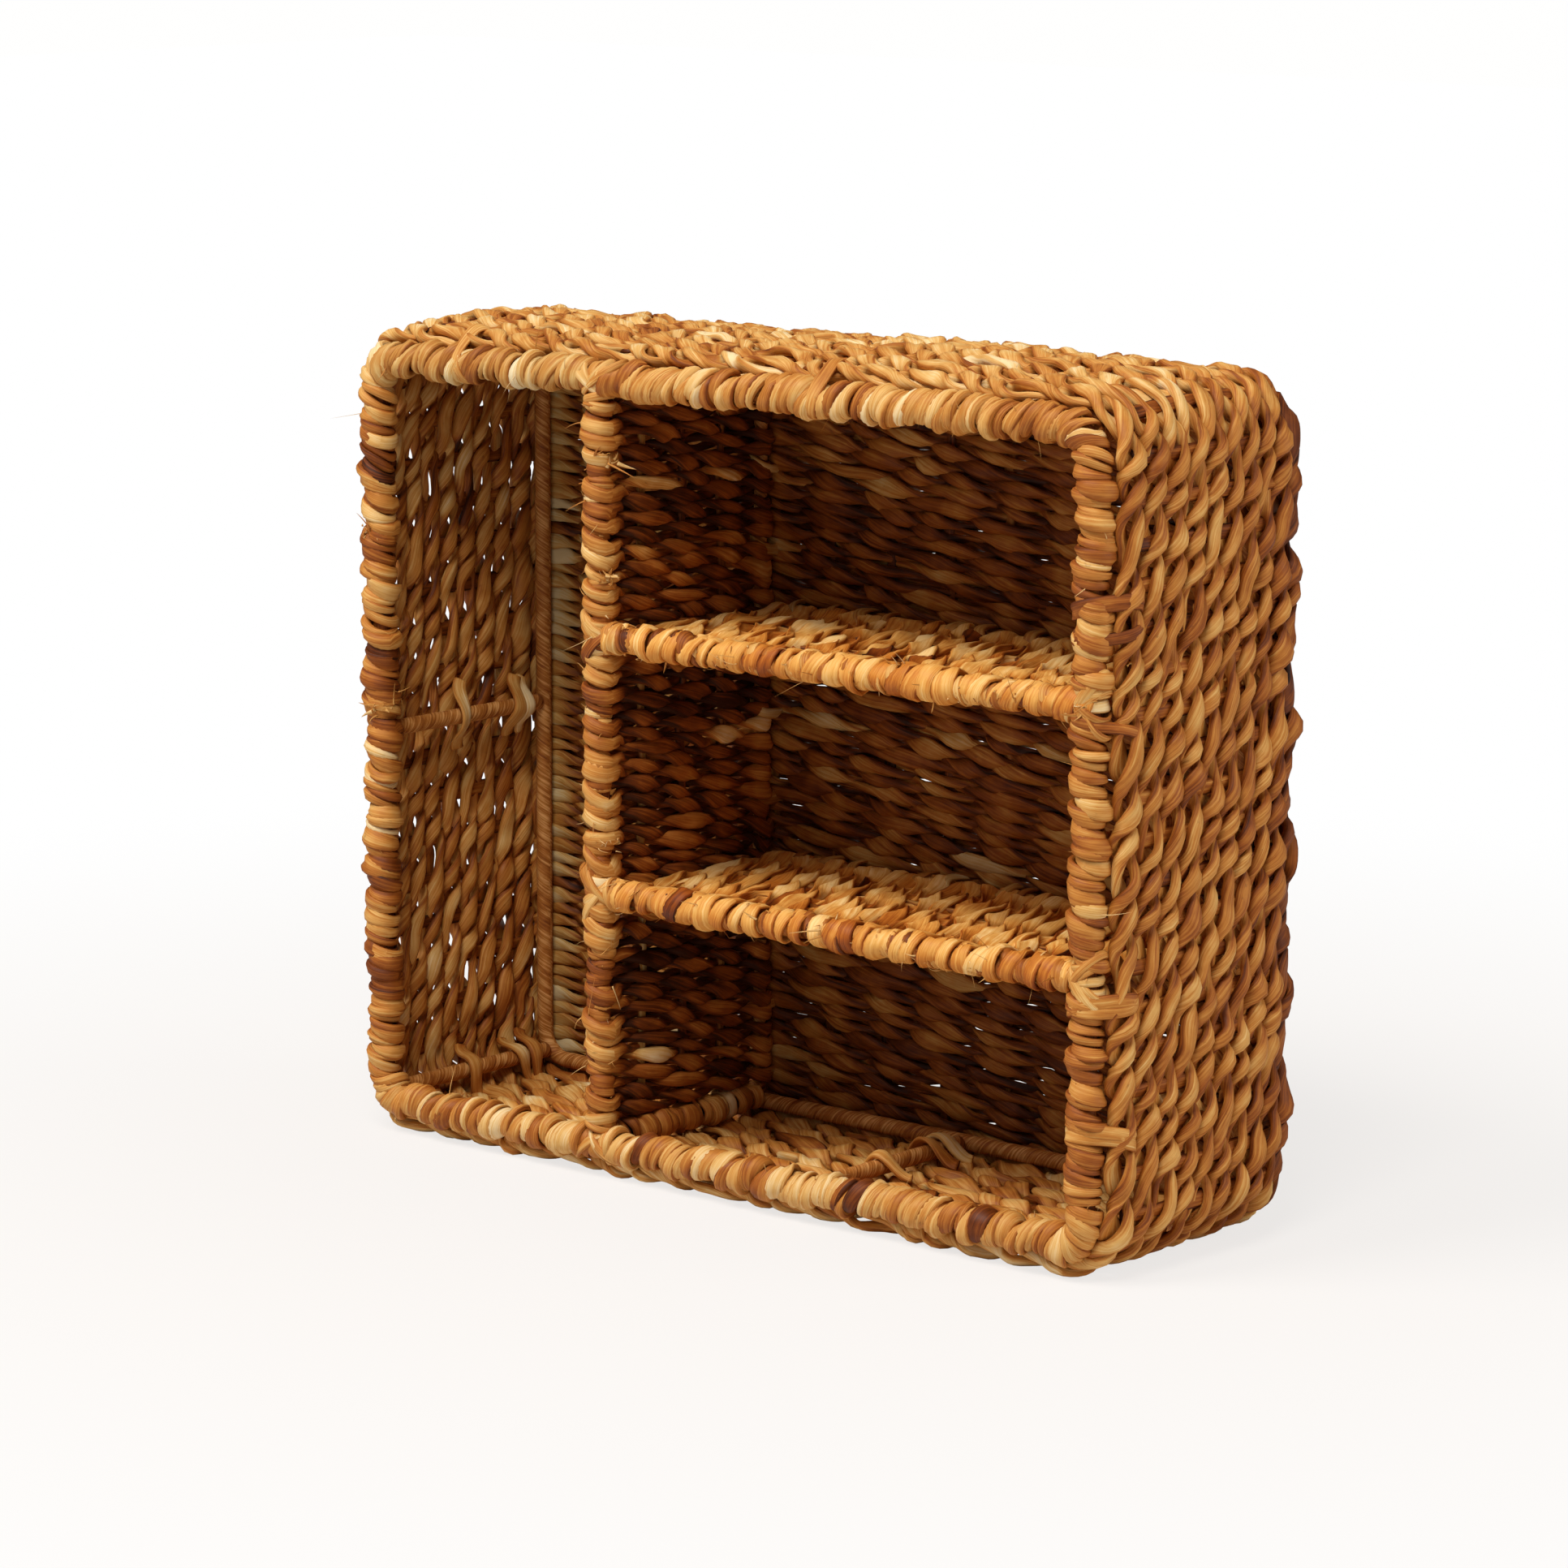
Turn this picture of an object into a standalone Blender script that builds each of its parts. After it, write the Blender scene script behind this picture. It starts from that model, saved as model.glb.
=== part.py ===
"""Sectioned seagrass basket, standing on one long side wall with its mouth towards -Y.

A welded wire skeleton carries everything: a rim loop at the mouth, a base loop at the back, struts that
join them, and the wires of one divider and two shelves. Twined seagrass courses run round the outside of
the skeleton, ribbed woven panels close the back and the partitions, and seagrass is wound helically round
the rim, divider and shelf wires, with a lashing over every joint.

Metres, +X right, +Y back, +Z up. The origin is on the floor, under the middle of the bounding box.
"""

import math

import bmesh
import bpy
from mathutils import Vector

# The wire skeleton, measured between wire centres.
FRAME_WIDTH = 0.331
FRAME_HEIGHT = 0.280
FRAME_DEPTH = 0.088
CORNER_RADIUS = 0.011

# Wires. The base loop and the struts carry a glued paper tape, counted in their radius.
RIM_WIRE_RADIUS = 0.0025
BASE_WIRE_RADIUS = 0.0030
STRUT_RADIUS = 0.0030
PARTITION_WIRE_RADIUS = 0.0025
FOOT_WIRE_RADIUS = 0.0020

# Partitions: the divider's place across the width, and the number of bays that the shelves make beside it.
DIVIDER_WIDTH_SHARE = 0.331
SHELF_BAYS = 3
FOOT_RISE = 0.0020

# The side struts stand half way up the short walls, and this far across the long ones.
LONG_WALL_STRUT_SHARE = 0.63

# Seagrass wound round the wires: three strands side by side, so the wound tube has three helical ridges.
WRAP_RADIUS = 0.0060
WRAP_GROOVE = 0.0009
FOOT_WRAP_RADIUS = 0.0050
WRAP_STRANDS = 3
WRAP_STRAND_WIDTH = 0.0080

# Lashings over the joints: a barrel along one wire with a collar on the wire that meets it.
LASHING_RADIUS = 0.0062
LASHING_GROOVE = 0.0006
LASHING_HALF_LENGTH = 0.0080
COLLAR_REACH = 0.0125

# Twined courses of the four walls.
COURSES = 9
WALL_THICKNESS = 0.0094
COURSE_FLAT = 0.0050
COURSE_GAP = 0.0004
WALL_BOW = 0.0030

# Woven panels.
BASE_THICKNESS = 0.0094
BASE_LAP = 0.0080
BASE_ROW = 0.0084
PARTITION_THICKNESS = 0.0090
PARTITION_ROW = 0.0078
PANEL_GROOVE = 0.0016

# Fit between neighbouring pieces.
CLEARANCE = 0.0003
CUT_OVERRUN = 0.0010

# Facets.
WIRE_SIDES = 8
CORNER_STEPS = 4
SIDE_STEPS = 4
RIDGE_POINT_SHARE = 0.25
SMOOTH_ANGLE = math.radians(50)

HALF_TURN = math.pi
QUARTER_TURN = math.pi / 2

AXIS_X = Vector((1, 0, 0))
AXIS_Y = Vector((0, 1, 0))
AXIS_Z = Vector((0, 0, 1))

# Places that follow from the sizes above.
WALL_INNER = STRUT_RADIUS + CLEARANCE
WALL_OUTER = WALL_INNER + WALL_THICKNESS
BASE_INNER = FRAME_DEPTH + BASE_WIRE_RADIUS + CLEARANCE
TOTAL_DEPTH = LASHING_RADIUS + BASE_INNER + BASE_THICKNESS
FRONT_Y = LASHING_RADIUS - TOTAL_DEPTH / 2
BACK_Y = FRONT_Y + FRAME_DEPTH
LEFT_X = -FRAME_WIDTH / 2
RIGHT_X = FRAME_WIDTH / 2
BOTTOM_Z = WALL_OUTER
TOP_Z = BOTTOM_Z + FRAME_HEIGHT
MIDDLE_Z = BOTTOM_Z + FRAME_HEIGHT / 2
DIVIDER_X = LEFT_X + DIVIDER_WIDTH_SHARE * FRAME_WIDTH
LONG_STRUT_X = LEFT_X + LONG_WALL_STRUT_SHARE * FRAME_WIDTH
SHELF_Z = [BOTTOM_Z + FRAME_HEIGHT * bay / SHELF_BAYS for bay in range(SHELF_BAYS - 1, 0, -1)]
SHELVES = list(zip(("upper_shelf", "lower_shelf"), SHELF_Z))
PANEL_FRONT_Y = FRONT_Y + LASHING_RADIUS + CLEARANCE
PANEL_BACK_Y = BACK_Y - BASE_WIRE_RADIUS - CLEARANCE


def clear_scene():
    for old in list(bpy.data.objects):
        bpy.data.objects.remove(old, do_unlink=True)


def make_material(name, colour, roughness, metallic=0.0):
    """A plain surface finish: colour is red, green and blue."""
    material = bpy.data.materials.new(name)
    material.use_nodes = True
    surface = material.node_tree.nodes["Principled BSDF"]
    surface.inputs["Base Color"].default_value = (*colour, 1.0)
    surface.inputs["Roughness"].default_value = roughness
    surface.inputs["Metallic"].default_value = metallic
    return material


def loft(name, rings, material=None, closed=False):
    """A solid skinned over rings that have equally many points.

    An open run of rings gets an end face at each end. Each side is two triangles, split along the diagonal
    that stays on a surface whose rings turn as they go.
    """
    mesh = bmesh.new()
    loops = [[mesh.verts.new(point) for point in ring] for ring in rings]
    pairs = list(zip(loops, loops[1:]))
    if closed:
        pairs.append((loops[-1], loops[0]))
    else:
        mesh.faces.new(loops[0])
        mesh.faces.new(loops[-1])
    for near, far in pairs:
        count = len(near)
        for here in range(count):
            there = (here + 1) % count
            mesh.faces.new((near[here], near[there], far[here]))
            mesh.faces.new((near[there], far[there], far[here]))
    bmesh.ops.recalc_face_normals(mesh, faces=mesh.faces)
    data = bpy.data.meshes.new(name)
    mesh.to_mesh(data)
    mesh.free()
    piece = bpy.data.objects.new(name, data)
    bpy.context.scene.collection.objects.link(piece)
    if material:
        data.materials.append(material)
    return piece


def smooth(piece):
    piece.data.shade_smooth()
    piece.data.set_sharp_from_angle(angle=SMOOTH_ANGLE)
    return piece


def circle(centre, radius, across, up, sides=WIRE_SIDES):
    """Points of a regular ring round centre, in the plane of two unit directions."""
    turn = 2 * HALF_TURN / sides
    return [
        centre + radius * (math.cos(step * turn) * across + math.sin(step * turn) * up)
        for step in range(sides)
    ]


def square_to(direction):
    """Two unit directions square to an axis direction."""
    across = AXIS_Z if abs(direction.z) < abs(direction.y) + abs(direction.x) else AXIS_X
    return across, direction.cross(across)


def rod(name, start, end, radius, material=None):
    """A straight round bar between two points."""
    across, up = square_to((end - start).normalized())
    return smooth(loft(name, [circle(point, radius, across, up) for point in (start, end)], material))


def cutter(name, start, end, radius):
    """A bar that cuts a clear hole for a wire of this radius. It is not a piece of the basket."""
    around = (radius + CLEARANCE) / math.cos(HALF_TURN / WIRE_SIDES)
    bar = rod(name, start, end, around)
    bar.hide_render = True
    bar.display_type = "WIRE"
    return bar


def add_boolean(piece, tool, operation):
    change = piece.modifiers.new(operation.lower() + "_" + tool.name, "BOOLEAN")
    change.operation = operation
    change.object = tool
    change.solver = "EXACT"
    return piece


class RimLoop:
    """The rounded rectangle of the skeleton in the XZ plane, followed by its length.

    The walk starts in the middle of the lower left corner's arc and goes along the bottom, up the right side,
    back along the top and down the left side.
    """

    def __init__(self):
        self.arc = QUARTER_TURN * CORNER_RADIUS
        self.flats = [side - 2 * CORNER_RADIUS for side in (FRAME_WIDTH, FRAME_HEIGHT) * 2]
        self.length = sum(self.flats) + 4 * self.arc
        low_x, high_x = LEFT_X + CORNER_RADIUS, RIGHT_X - CORNER_RADIUS
        low_z, high_z = BOTTOM_Z + CORNER_RADIUS, TOP_Z - CORNER_RADIUS
        self.centres = [(low_x, low_z), (high_x, low_z), (high_x, high_z), (low_x, high_z)]

    def corner(self, number):
        """Length at the middle of a corner. 0 is lower left, and they count on along the walk."""
        return sum(self.flats[:number]) + number * self.arc

    def at_x(self, x, bottom):
        """Length at a place along the bottom side, or along the top side."""
        past = x - self.centres[0][0]
        return self.arc / 2 + past if bottom else self.corner(3) - self.arc / 2 - past

    def at_right(self, z):
        """Length at a height on the right side."""
        return self.corner(1) + self.arc / 2 + z - self.centres[1][1]

    def station(self, length):
        """The wire's centre and the outward direction there. A length past the end goes round again."""
        length %= self.length
        side = 0
        while side < 3 and length > self.corner(side + 1):
            side += 1
        along = length - self.corner(side)
        past = along - self.arc / 2
        heading = side * QUARTER_TURN
        centre = self.centres[side]
        run = 0.0
        angle = heading - QUARTER_TURN
        if past < 0:
            angle += past / CORNER_RADIUS
        elif past > self.flats[side]:
            run = self.flats[side]
            angle += (past - run) / CORNER_RADIUS
        else:
            run = past
        out = Vector((math.cos(angle), 0, math.sin(angle)))
        walk = Vector((math.cos(heading), 0, math.sin(heading)))
        middle = Vector((centre[0], FRONT_Y, centre[1]))
        return middle + walk * run + out * CORNER_RADIUS, out

    def outline(self):
        """Stations round the loop as (place, outward direction, bow share). The bottom side stands flat."""
        stations = []
        for side in range(4):
            start = self.corner(side) + self.arc / 2
            bowed = side != 0
            steps = SIDE_STEPS if bowed else 1
            for step in range(steps):
                share = step / steps
                place, out = self.station(start + share * self.flats[side])
                stations.append((place, out, math.sin(HALF_TURN * share) if bowed else 0.0))
            for step in range(CORNER_STEPS):
                place, out = self.station(start + self.flats[side] + self.arc * step / CORNER_STEPS)
                stations.append((place, out, 0.0))
        return stations


RIM = RimLoop()


def wire_loop(name, y, radius, material):
    """A closed loop of wire round the skeleton at one depth."""
    rings = [
        circle(Vector((place.x, y, place.z)), radius, out, AXIS_Y)
        for place, out, bow in RIM.outline()
    ]
    return smooth(loft(name, rings, material, closed=True))


def wound_tube(name, stations, radius, bore, material):
    """Seagrass wound round a wire: a tube with helical ridges outside and a clear bore inside.

    stations are (centre, across, up), evenly spaced, and their number less one is a multiple of the ring's
    points, so the twist ends where it began and the caps are square to the wire.
    """
    points = 2 * WRAP_STRANDS
    turn = 2 * HALF_TURN / points
    outer = []
    for number, (centre, across, up) in enumerate(stations):
        ring = []
        for corner in range(points):
            angle = (corner + number) * turn
            reach = radius - (WRAP_GROOVE if corner % 2 else 0)
            ring.append(centre + reach * (math.cos(angle) * across + math.sin(angle) * up))
        outer.append(ring)
    hole = (bore + CLEARANCE) / math.cos(turn / 2)
    last = len(stations) - 1
    inner = []
    for number, (centre, across, up) in enumerate(stations):
        bends = 0 < number < last and (
            stations[number - 1][1] != across or stations[number + 1][1] != across
        )
        if bends or number in (0, last):
            inner.append(circle(centre, hole, across, up, points))
    return loft(name, outer + inner[::-1], material, closed=True)


def strand_steps(length):
    """How many rings a wound tube takes over a length: ridges a strand's width apart, in whole turns."""
    points = 2 * WRAP_STRANDS
    return points * max(1, round(length / (points * WRAP_STRAND_WIDTH / 2)))


def rim_wrap(name, start, end, material):
    """The wound tube on the rim wire between two lengths round the loop."""
    steps = strand_steps(end - start)
    stations = []
    for step in range(steps + 1):
        place, out = RIM.station(start + (end - start) * step / steps)
        stations.append((place, out, AXIS_Y))
    return wound_tube(name, stations, WRAP_RADIUS, RIM_WIRE_RADIUS, material)


def straight_wrap(name, start, end, radius, bore, material):
    """The wound tube on a straight wire between two points."""
    across, up = square_to((end - start).normalized())
    steps = strand_steps((end - start).length)
    stations = [(start.lerp(end, step / steps), across, up) for step in range(steps + 1)]
    return wound_tube(name, stations, radius, bore, material)


def lashing_bar(name, start, end, material=None):
    """A short wound bar whose thick turns lie square to it."""
    across, up = square_to((end - start).normalized())
    turns = max(2, round((end - start).length / WRAP_STRAND_WIDTH))
    rings = []
    for step in range(2 * turns + 1):
        reach = LASHING_RADIUS - (0 if step % 2 else LASHING_GROOVE)
        rings.append(circle(start.lerp(end, step / (2 * turns)), reach, across, up))
    return loft(name, rings, material)


def tee_lashing(name, centre, run, branch, run_radius, branch_radius, material):
    """The binding over a joint: a barrel on the wire that runs through and a collar on the one that ends there."""
    half = run * LASHING_HALF_LENGTH
    barrel = lashing_bar(name, centre - half, centre + half, material)
    root = centre + branch * RIM_WIRE_RADIUS
    collar = lashing_bar(name + "_collar", root, centre + branch * COLLAR_REACH)
    collar.hide_render = True
    collar.display_type = "WIRE"
    add_boolean(barrel, collar, "UNION")
    through = run * (LASHING_HALF_LENGTH + CUT_OVERRUN)
    run_bore = cutter(name + "_run_bore", centre - through, centre + through, run_radius)
    add_boolean(barrel, run_bore, "DIFFERENCE")
    out = branch * (COLLAR_REACH + CUT_OVERRUN)
    branch_bore = cutter(name + "_branch_bore", centre, centre + out, branch_radius)
    add_boolean(barrel, branch_bore, "DIFFERENCE")
    return barrel


def ribbed_panel(name, start, along, run, face, length, row, thickness, reach, material):
    """A woven panel: rows stacked along one direction, each a flat-topped rib on both faces.

    reach(s) gives the panel's two ends in the rows' own direction at a place s along the stack.
    """
    rows = max(1, round(length / row))
    pitch = length / rows
    profile = [(0.0, thickness / 2 - PANEL_GROOVE)]
    for number in range(rows):
        profile.append(((number + RIDGE_POINT_SHARE) * pitch, thickness / 2))
        profile.append(((number + 1 - RIDGE_POINT_SHARE) * pitch, thickness / 2))
        profile.append(((number + 1) * pitch, thickness / 2 - PANEL_GROOVE))
    rings = []
    for place, half in profile:
        low, high = reach(place)
        middle = start + along * place
        rings.append(
            [
                middle + run * low + face * half,
                middle + run * high + face * half,
                middle + run * high - face * half,
                middle + run * low - face * half,
            ]
        )
    return loft(name, rings, material)


def make_wires(steel, tape):
    """The welded skeleton. Returns the bars that cut the wraps where a strut reaches the rim wire."""
    wire_loop("rim_wire", FRONT_Y, RIM_WIRE_RADIUS, steel)
    wire_loop("base_wire", BACK_Y, BASE_WIRE_RADIUS, tape)
    corner_inset = CORNER_RADIUS * (1 - math.cos(HALF_TURN / 4))
    places = {
        "corner_strut_bottom_left": (LEFT_X + corner_inset, BOTTOM_Z + corner_inset),
        "corner_strut_bottom_right": (RIGHT_X - corner_inset, BOTTOM_Z + corner_inset),
        "corner_strut_top_right": (RIGHT_X - corner_inset, TOP_Z - corner_inset),
        "corner_strut_top_left": (LEFT_X + corner_inset, TOP_Z - corner_inset),
        "left_wall_strut": (LEFT_X, MIDDLE_Z),
        "right_wall_strut": (RIGHT_X, MIDDLE_Z),
        "top_wall_strut": (LONG_STRUT_X, TOP_Z),
        "bottom_wall_strut": (LONG_STRUT_X, BOTTOM_Z),
    }
    front = FRONT_Y + RIM_WIRE_RADIUS + CLEARANCE
    cutters = {}
    for name, (x, z) in places.items():
        rod(name, Vector((x, front, z)), Vector((x, PANEL_BACK_Y, z)), STRUT_RADIUS, tape)
        behind = Vector((x, FRONT_Y + WRAP_RADIUS + CUT_OVERRUN, z))
        cutters[name] = cutter(name + "_hole", Vector((x, FRONT_Y, z)), behind, STRUT_RADIUS)
    return cutters


def make_rim_wraps(grass, cutters):
    """The eight lengths of wrapping on the rim, between corners and lashings."""
    gap = CLEARANCE / 2
    past = LASHING_HALF_LENGTH + CLEARANCE
    upper, lower = (RIM.at_right(z) for z in SHELF_Z)
    foot = RIM.at_x(DIVIDER_X, bottom=True)
    head = RIM.at_x(DIVIDER_X, bottom=False)
    spans = {
        "rim_wrap_bottom_left": (RIM.corner(0) + gap, foot - past),
        "rim_wrap_bottom_right": (foot + past, RIM.corner(1) - gap),
        "rim_wrap_right_lower": (RIM.corner(1) + gap, lower - past),
        "rim_wrap_right_middle": (lower + past, upper - past),
        "rim_wrap_right_upper": (upper + past, RIM.corner(2) - gap),
        "rim_wrap_top_right": (RIM.corner(2) + gap, head - past),
        "rim_wrap_top_left": (head + past, RIM.corner(3) - gap),
        "rim_wrap_left": (RIM.corner(3) + gap, RIM.corner(4) - gap),
    }
    struts = {
        "rim_wrap_bottom_left": ["corner_strut_bottom_left"],
        "rim_wrap_bottom_right": ["corner_strut_bottom_right", "bottom_wall_strut"],
        "rim_wrap_right_lower": ["corner_strut_bottom_right"],
        "rim_wrap_right_middle": ["right_wall_strut"],
        "rim_wrap_right_upper": ["corner_strut_top_right"],
        "rim_wrap_top_right": ["corner_strut_top_right", "top_wall_strut"],
        "rim_wrap_top_left": ["corner_strut_top_left"],
        "rim_wrap_left": ["corner_strut_top_left", "corner_strut_bottom_left", "left_wall_strut"],
    }
    for name, (start, end) in spans.items():
        wrap = rim_wrap(name, start, end, grass)
        for strut in struts[name]:
            add_boolean(wrap, cutters[strut], "DIFFERENCE")


def make_divider(grass, steel, tape):
    """The upright partition: its four wires, wound front edge, wound foot and head, and woven panel."""
    front = Vector((DIVIDER_X, FRONT_Y, 0))
    back = Vector((DIVIDER_X, BACK_Y, 0))
    ends = [(BOTTOM_Z, 1), (TOP_Z, -1)]
    near, far = (z + way * (RIM_WIRE_RADIUS + CLEARANCE) for z, way in ends)
    radius = PARTITION_WIRE_RADIUS
    rod("divider_front_wire", front + AXIS_Z * near, front + AXIS_Z * far, radius, steel)
    near, far = (z + way * (BASE_WIRE_RADIUS + CLEARANCE) for z, way in ends)
    rod("divider_back_wire", back + AXIS_Z * near, back + AXIS_Z * far, radius, tape)

    for (z, way), part in zip(ends, ("foot", "head")):
        height = AXIS_Z * (z + way * FOOT_RISE)
        start = Vector((DIVIDER_X, FRONT_Y + RIM_WIRE_RADIUS + CLEARANCE, 0)) + height
        end = Vector((DIVIDER_X, PANEL_BACK_Y, 0)) + height
        rod(f"divider_{part}_wire", start, end, FOOT_WIRE_RADIUS, steel)
        wrapped = Vector((DIVIDER_X, PANEL_FRONT_Y, 0)) + height
        straight_wrap(f"divider_{part}_wrap", wrapped, end, FOOT_WRAP_RADIUS, FOOT_WIRE_RADIUS, grass)
        joint = front + AXIS_Z * z
        lashing = tee_lashing(f"divider_{part}_lashing", joint, AXIS_X, AXIS_Z * way, RIM_WIRE_RADIUS, radius, grass)
        past = wrapped + AXIS_Y * CUT_OVERRUN
        hole = cutter(f"divider_{part}_hole", front + height, past, FOOT_WIRE_RADIUS)
        add_boolean(lashing, hole, "DIFFERENCE")

    collar = COLLAR_REACH + CLEARANCE
    barrel = LASHING_HALF_LENGTH + CLEARANCE
    upper, lower = SHELF_Z
    spans = {
        "divider_wrap_lower": (BOTTOM_Z + collar, lower - barrel),
        "divider_wrap_middle": (lower + barrel, upper - barrel),
        "divider_wrap_upper": (upper + barrel, TOP_Z - collar),
    }
    for name, (low, high) in spans.items():
        straight_wrap(name, front + AXIS_Z * low, front + AXIS_Z * high, WRAP_RADIUS, radius, grass)

    margin = FOOT_RISE + FOOT_WRAP_RADIUS + CLEARANCE
    ribbed_panel("divider_weave", Vector((DIVIDER_X, 0, BOTTOM_Z + margin)), AXIS_Z, AXIS_Y, AXIS_X,
                 FRAME_HEIGHT - 2 * margin, PARTITION_ROW, PARTITION_THICKNESS,
                 lambda place: (PANEL_FRONT_Y, PANEL_BACK_Y), grass)


def make_shelf(name, z, grass, steel, tape):
    """One shelf between divider and right wall: front and back wires, wound front edge and woven panel."""
    radius = PARTITION_WIRE_RADIUS
    left = Vector((DIVIDER_X, FRONT_Y, z))
    right = Vector((RIGHT_X, FRONT_Y, z))
    start = left + AXIS_X * (radius + CLEARANCE)
    end = right - AXIS_X * (RIM_WIRE_RADIUS + CLEARANCE)
    rod(name + "_front_wire", start, end, radius, steel)
    behind = AXIS_Y * FRAME_DEPTH
    end = right - AXIS_X * (BASE_WIRE_RADIUS + CLEARANCE)
    rod(name + "_back_wire", start + behind, end + behind, radius, tape)
    tee_lashing(name + "_left_lashing", left, AXIS_Z, AXIS_X, radius, radius, grass)
    tee_lashing(name + "_right_lashing", right, AXIS_Z, -AXIS_X, RIM_WIRE_RADIUS, radius, grass)
    collar = AXIS_X * (COLLAR_REACH + CLEARANCE)
    straight_wrap(name + "_wrap", left + collar, right - collar, WRAP_RADIUS, radius, grass)
    first = DIVIDER_X + PARTITION_THICKNESS / 2 + CLEARANCE
    last = RIGHT_X + WALL_INNER - CLEARANCE
    ribbed_panel(name + "_weave", Vector((first, 0, z)), AXIS_X, AXIS_Y, AXIS_Z, last - first,
                 PARTITION_ROW, PARTITION_THICKNESS, lambda place: (PANEL_FRONT_Y, PANEL_BACK_Y), grass)


def make_walls(grass):
    """The twined courses, one closed ring each, laid side by side from the rim to the base.

    The first course lies behind the wrapped rim, close enough to touch it. Each ring's section is a flat-sided
    barrel, so the bottom side stands on a flat.
    """
    reach = LASHING_RADIUS + CLEARANCE
    first = COURSE_FLAT / 2 + math.sqrt(max(0.0, reach**2 - WALL_INNER**2))
    last = BASE_INNER - CLEARANCE
    pitch = (last - first) / (COURSES - 1 / 2)
    half = (pitch - COURSE_GAP) / 2
    core = WALL_INNER + WALL_THICKNESS / 2
    flat = min(COURSE_FLAT / 2, half)
    section = [(-half, core), (-flat, WALL_OUTER), (flat, WALL_OUTER),
               (half, core), (flat, WALL_INNER), (-flat, WALL_INNER)]
    for number in range(COURSES):
        depth = first + number * pitch
        bulge = WALL_BOW * math.sin(HALF_TURN * (number + 1 / 2) / COURSES)
        rings = []
        for place, out, bow in RIM.outline():
            middle = place + AXIS_Y * depth + out * bulge * bow
            rings.append([middle + AXIS_Y * along + out * away for along, away in section])
        smooth(loft(f"wall_course_{number + 1}", rings, grass, closed=True))


def make_base(grass):
    """The woven back panel. Its rows run left to right and are shorter where the corners round off."""
    corner = CORNER_RADIUS + BASE_LAP
    height = FRAME_HEIGHT + 2 * BASE_LAP
    half = FRAME_WIDTH / 2 + BASE_LAP

    def reach(place):
        into = max(0.0, corner - min(place, height - place))
        inset = corner - math.sqrt(max(0.0, corner**2 - into**2))
        return -(half - inset), half - inset

    start = Vector((0, FRONT_Y + BASE_INNER + BASE_THICKNESS / 2, BOTTOM_Z - BASE_LAP))
    ribbed_panel("base_weave", start, AXIS_Z, AXIS_X, AXIS_Y, height, BASE_ROW, BASE_THICKNESS, reach, grass)


def main():
    clear_scene()
    grass = make_material("seagrass", (0.52, 0.27, 0.09), 0.62)
    steel = make_material("wire", (0.30, 0.28, 0.26), 0.45, 0.9)
    tape = make_material("paper_tape", (0.30, 0.17, 0.07), 0.75)
    cutters = make_wires(steel, tape)
    make_rim_wraps(grass, cutters)
    make_divider(grass, steel, tape)
    for name, z in SHELVES:
        make_shelf(name, z, grass, steel, tape)
    make_walls(grass)
    make_base(grass)


main()
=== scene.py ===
"""Looks of the sectioned seagrass basket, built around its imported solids. All lengths are in metres."""

import bpy
import numpy as np
from mathutils import Matrix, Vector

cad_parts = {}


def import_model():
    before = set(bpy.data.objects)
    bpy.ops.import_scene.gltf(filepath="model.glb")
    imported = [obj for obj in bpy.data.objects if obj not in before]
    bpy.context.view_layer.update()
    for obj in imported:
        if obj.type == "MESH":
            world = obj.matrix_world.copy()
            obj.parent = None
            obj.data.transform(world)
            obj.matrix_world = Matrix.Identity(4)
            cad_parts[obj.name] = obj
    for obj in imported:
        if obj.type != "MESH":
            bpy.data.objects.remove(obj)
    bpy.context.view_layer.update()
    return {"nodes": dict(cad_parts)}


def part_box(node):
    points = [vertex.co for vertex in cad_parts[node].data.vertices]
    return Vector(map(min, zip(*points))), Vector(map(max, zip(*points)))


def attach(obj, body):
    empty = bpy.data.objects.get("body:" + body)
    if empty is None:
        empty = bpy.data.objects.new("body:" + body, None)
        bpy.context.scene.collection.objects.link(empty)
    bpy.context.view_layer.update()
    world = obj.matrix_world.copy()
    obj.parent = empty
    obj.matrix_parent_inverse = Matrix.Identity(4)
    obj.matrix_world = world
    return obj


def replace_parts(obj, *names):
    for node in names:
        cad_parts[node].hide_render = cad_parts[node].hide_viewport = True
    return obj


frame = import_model()

MM = 0.001
TAU = 2 * np.pi
AXIS_X, AXIS_Y, AXIS_Z = np.eye(3)

LEAF_SIDES = 12
STATIONS_PER_GRAIN = 9
STATIONS_PER_TURN = 18


def box(node):
    """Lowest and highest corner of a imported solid, as arrays."""
    low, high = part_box(node)
    return np.array(low), np.array(high)


def middle_of(node):
    """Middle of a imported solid's box."""
    low, high = box(node)
    return (low + high) / 2


rim_low, rim_high = box("rim_wire")
WIRE = (rim_high[1] - rim_low[1]) / 2
LEFT_X, MOUTH_Y, BOTTOM_Z = rim_low + WIRE
RIGHT_X, _, TOP_Z = rim_high - WIRE
DIVIDER_X = middle_of("divider_front_wire")[0]
BACK_Y = middle_of("divider_back_wire")[1]
SHELF_Z = {name: middle_of(name + "_shelf_front_wire")[2] for name in ("upper", "lower")}

CORNER = 11 * MM
JOINT_HALF = 7 * MM


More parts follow.
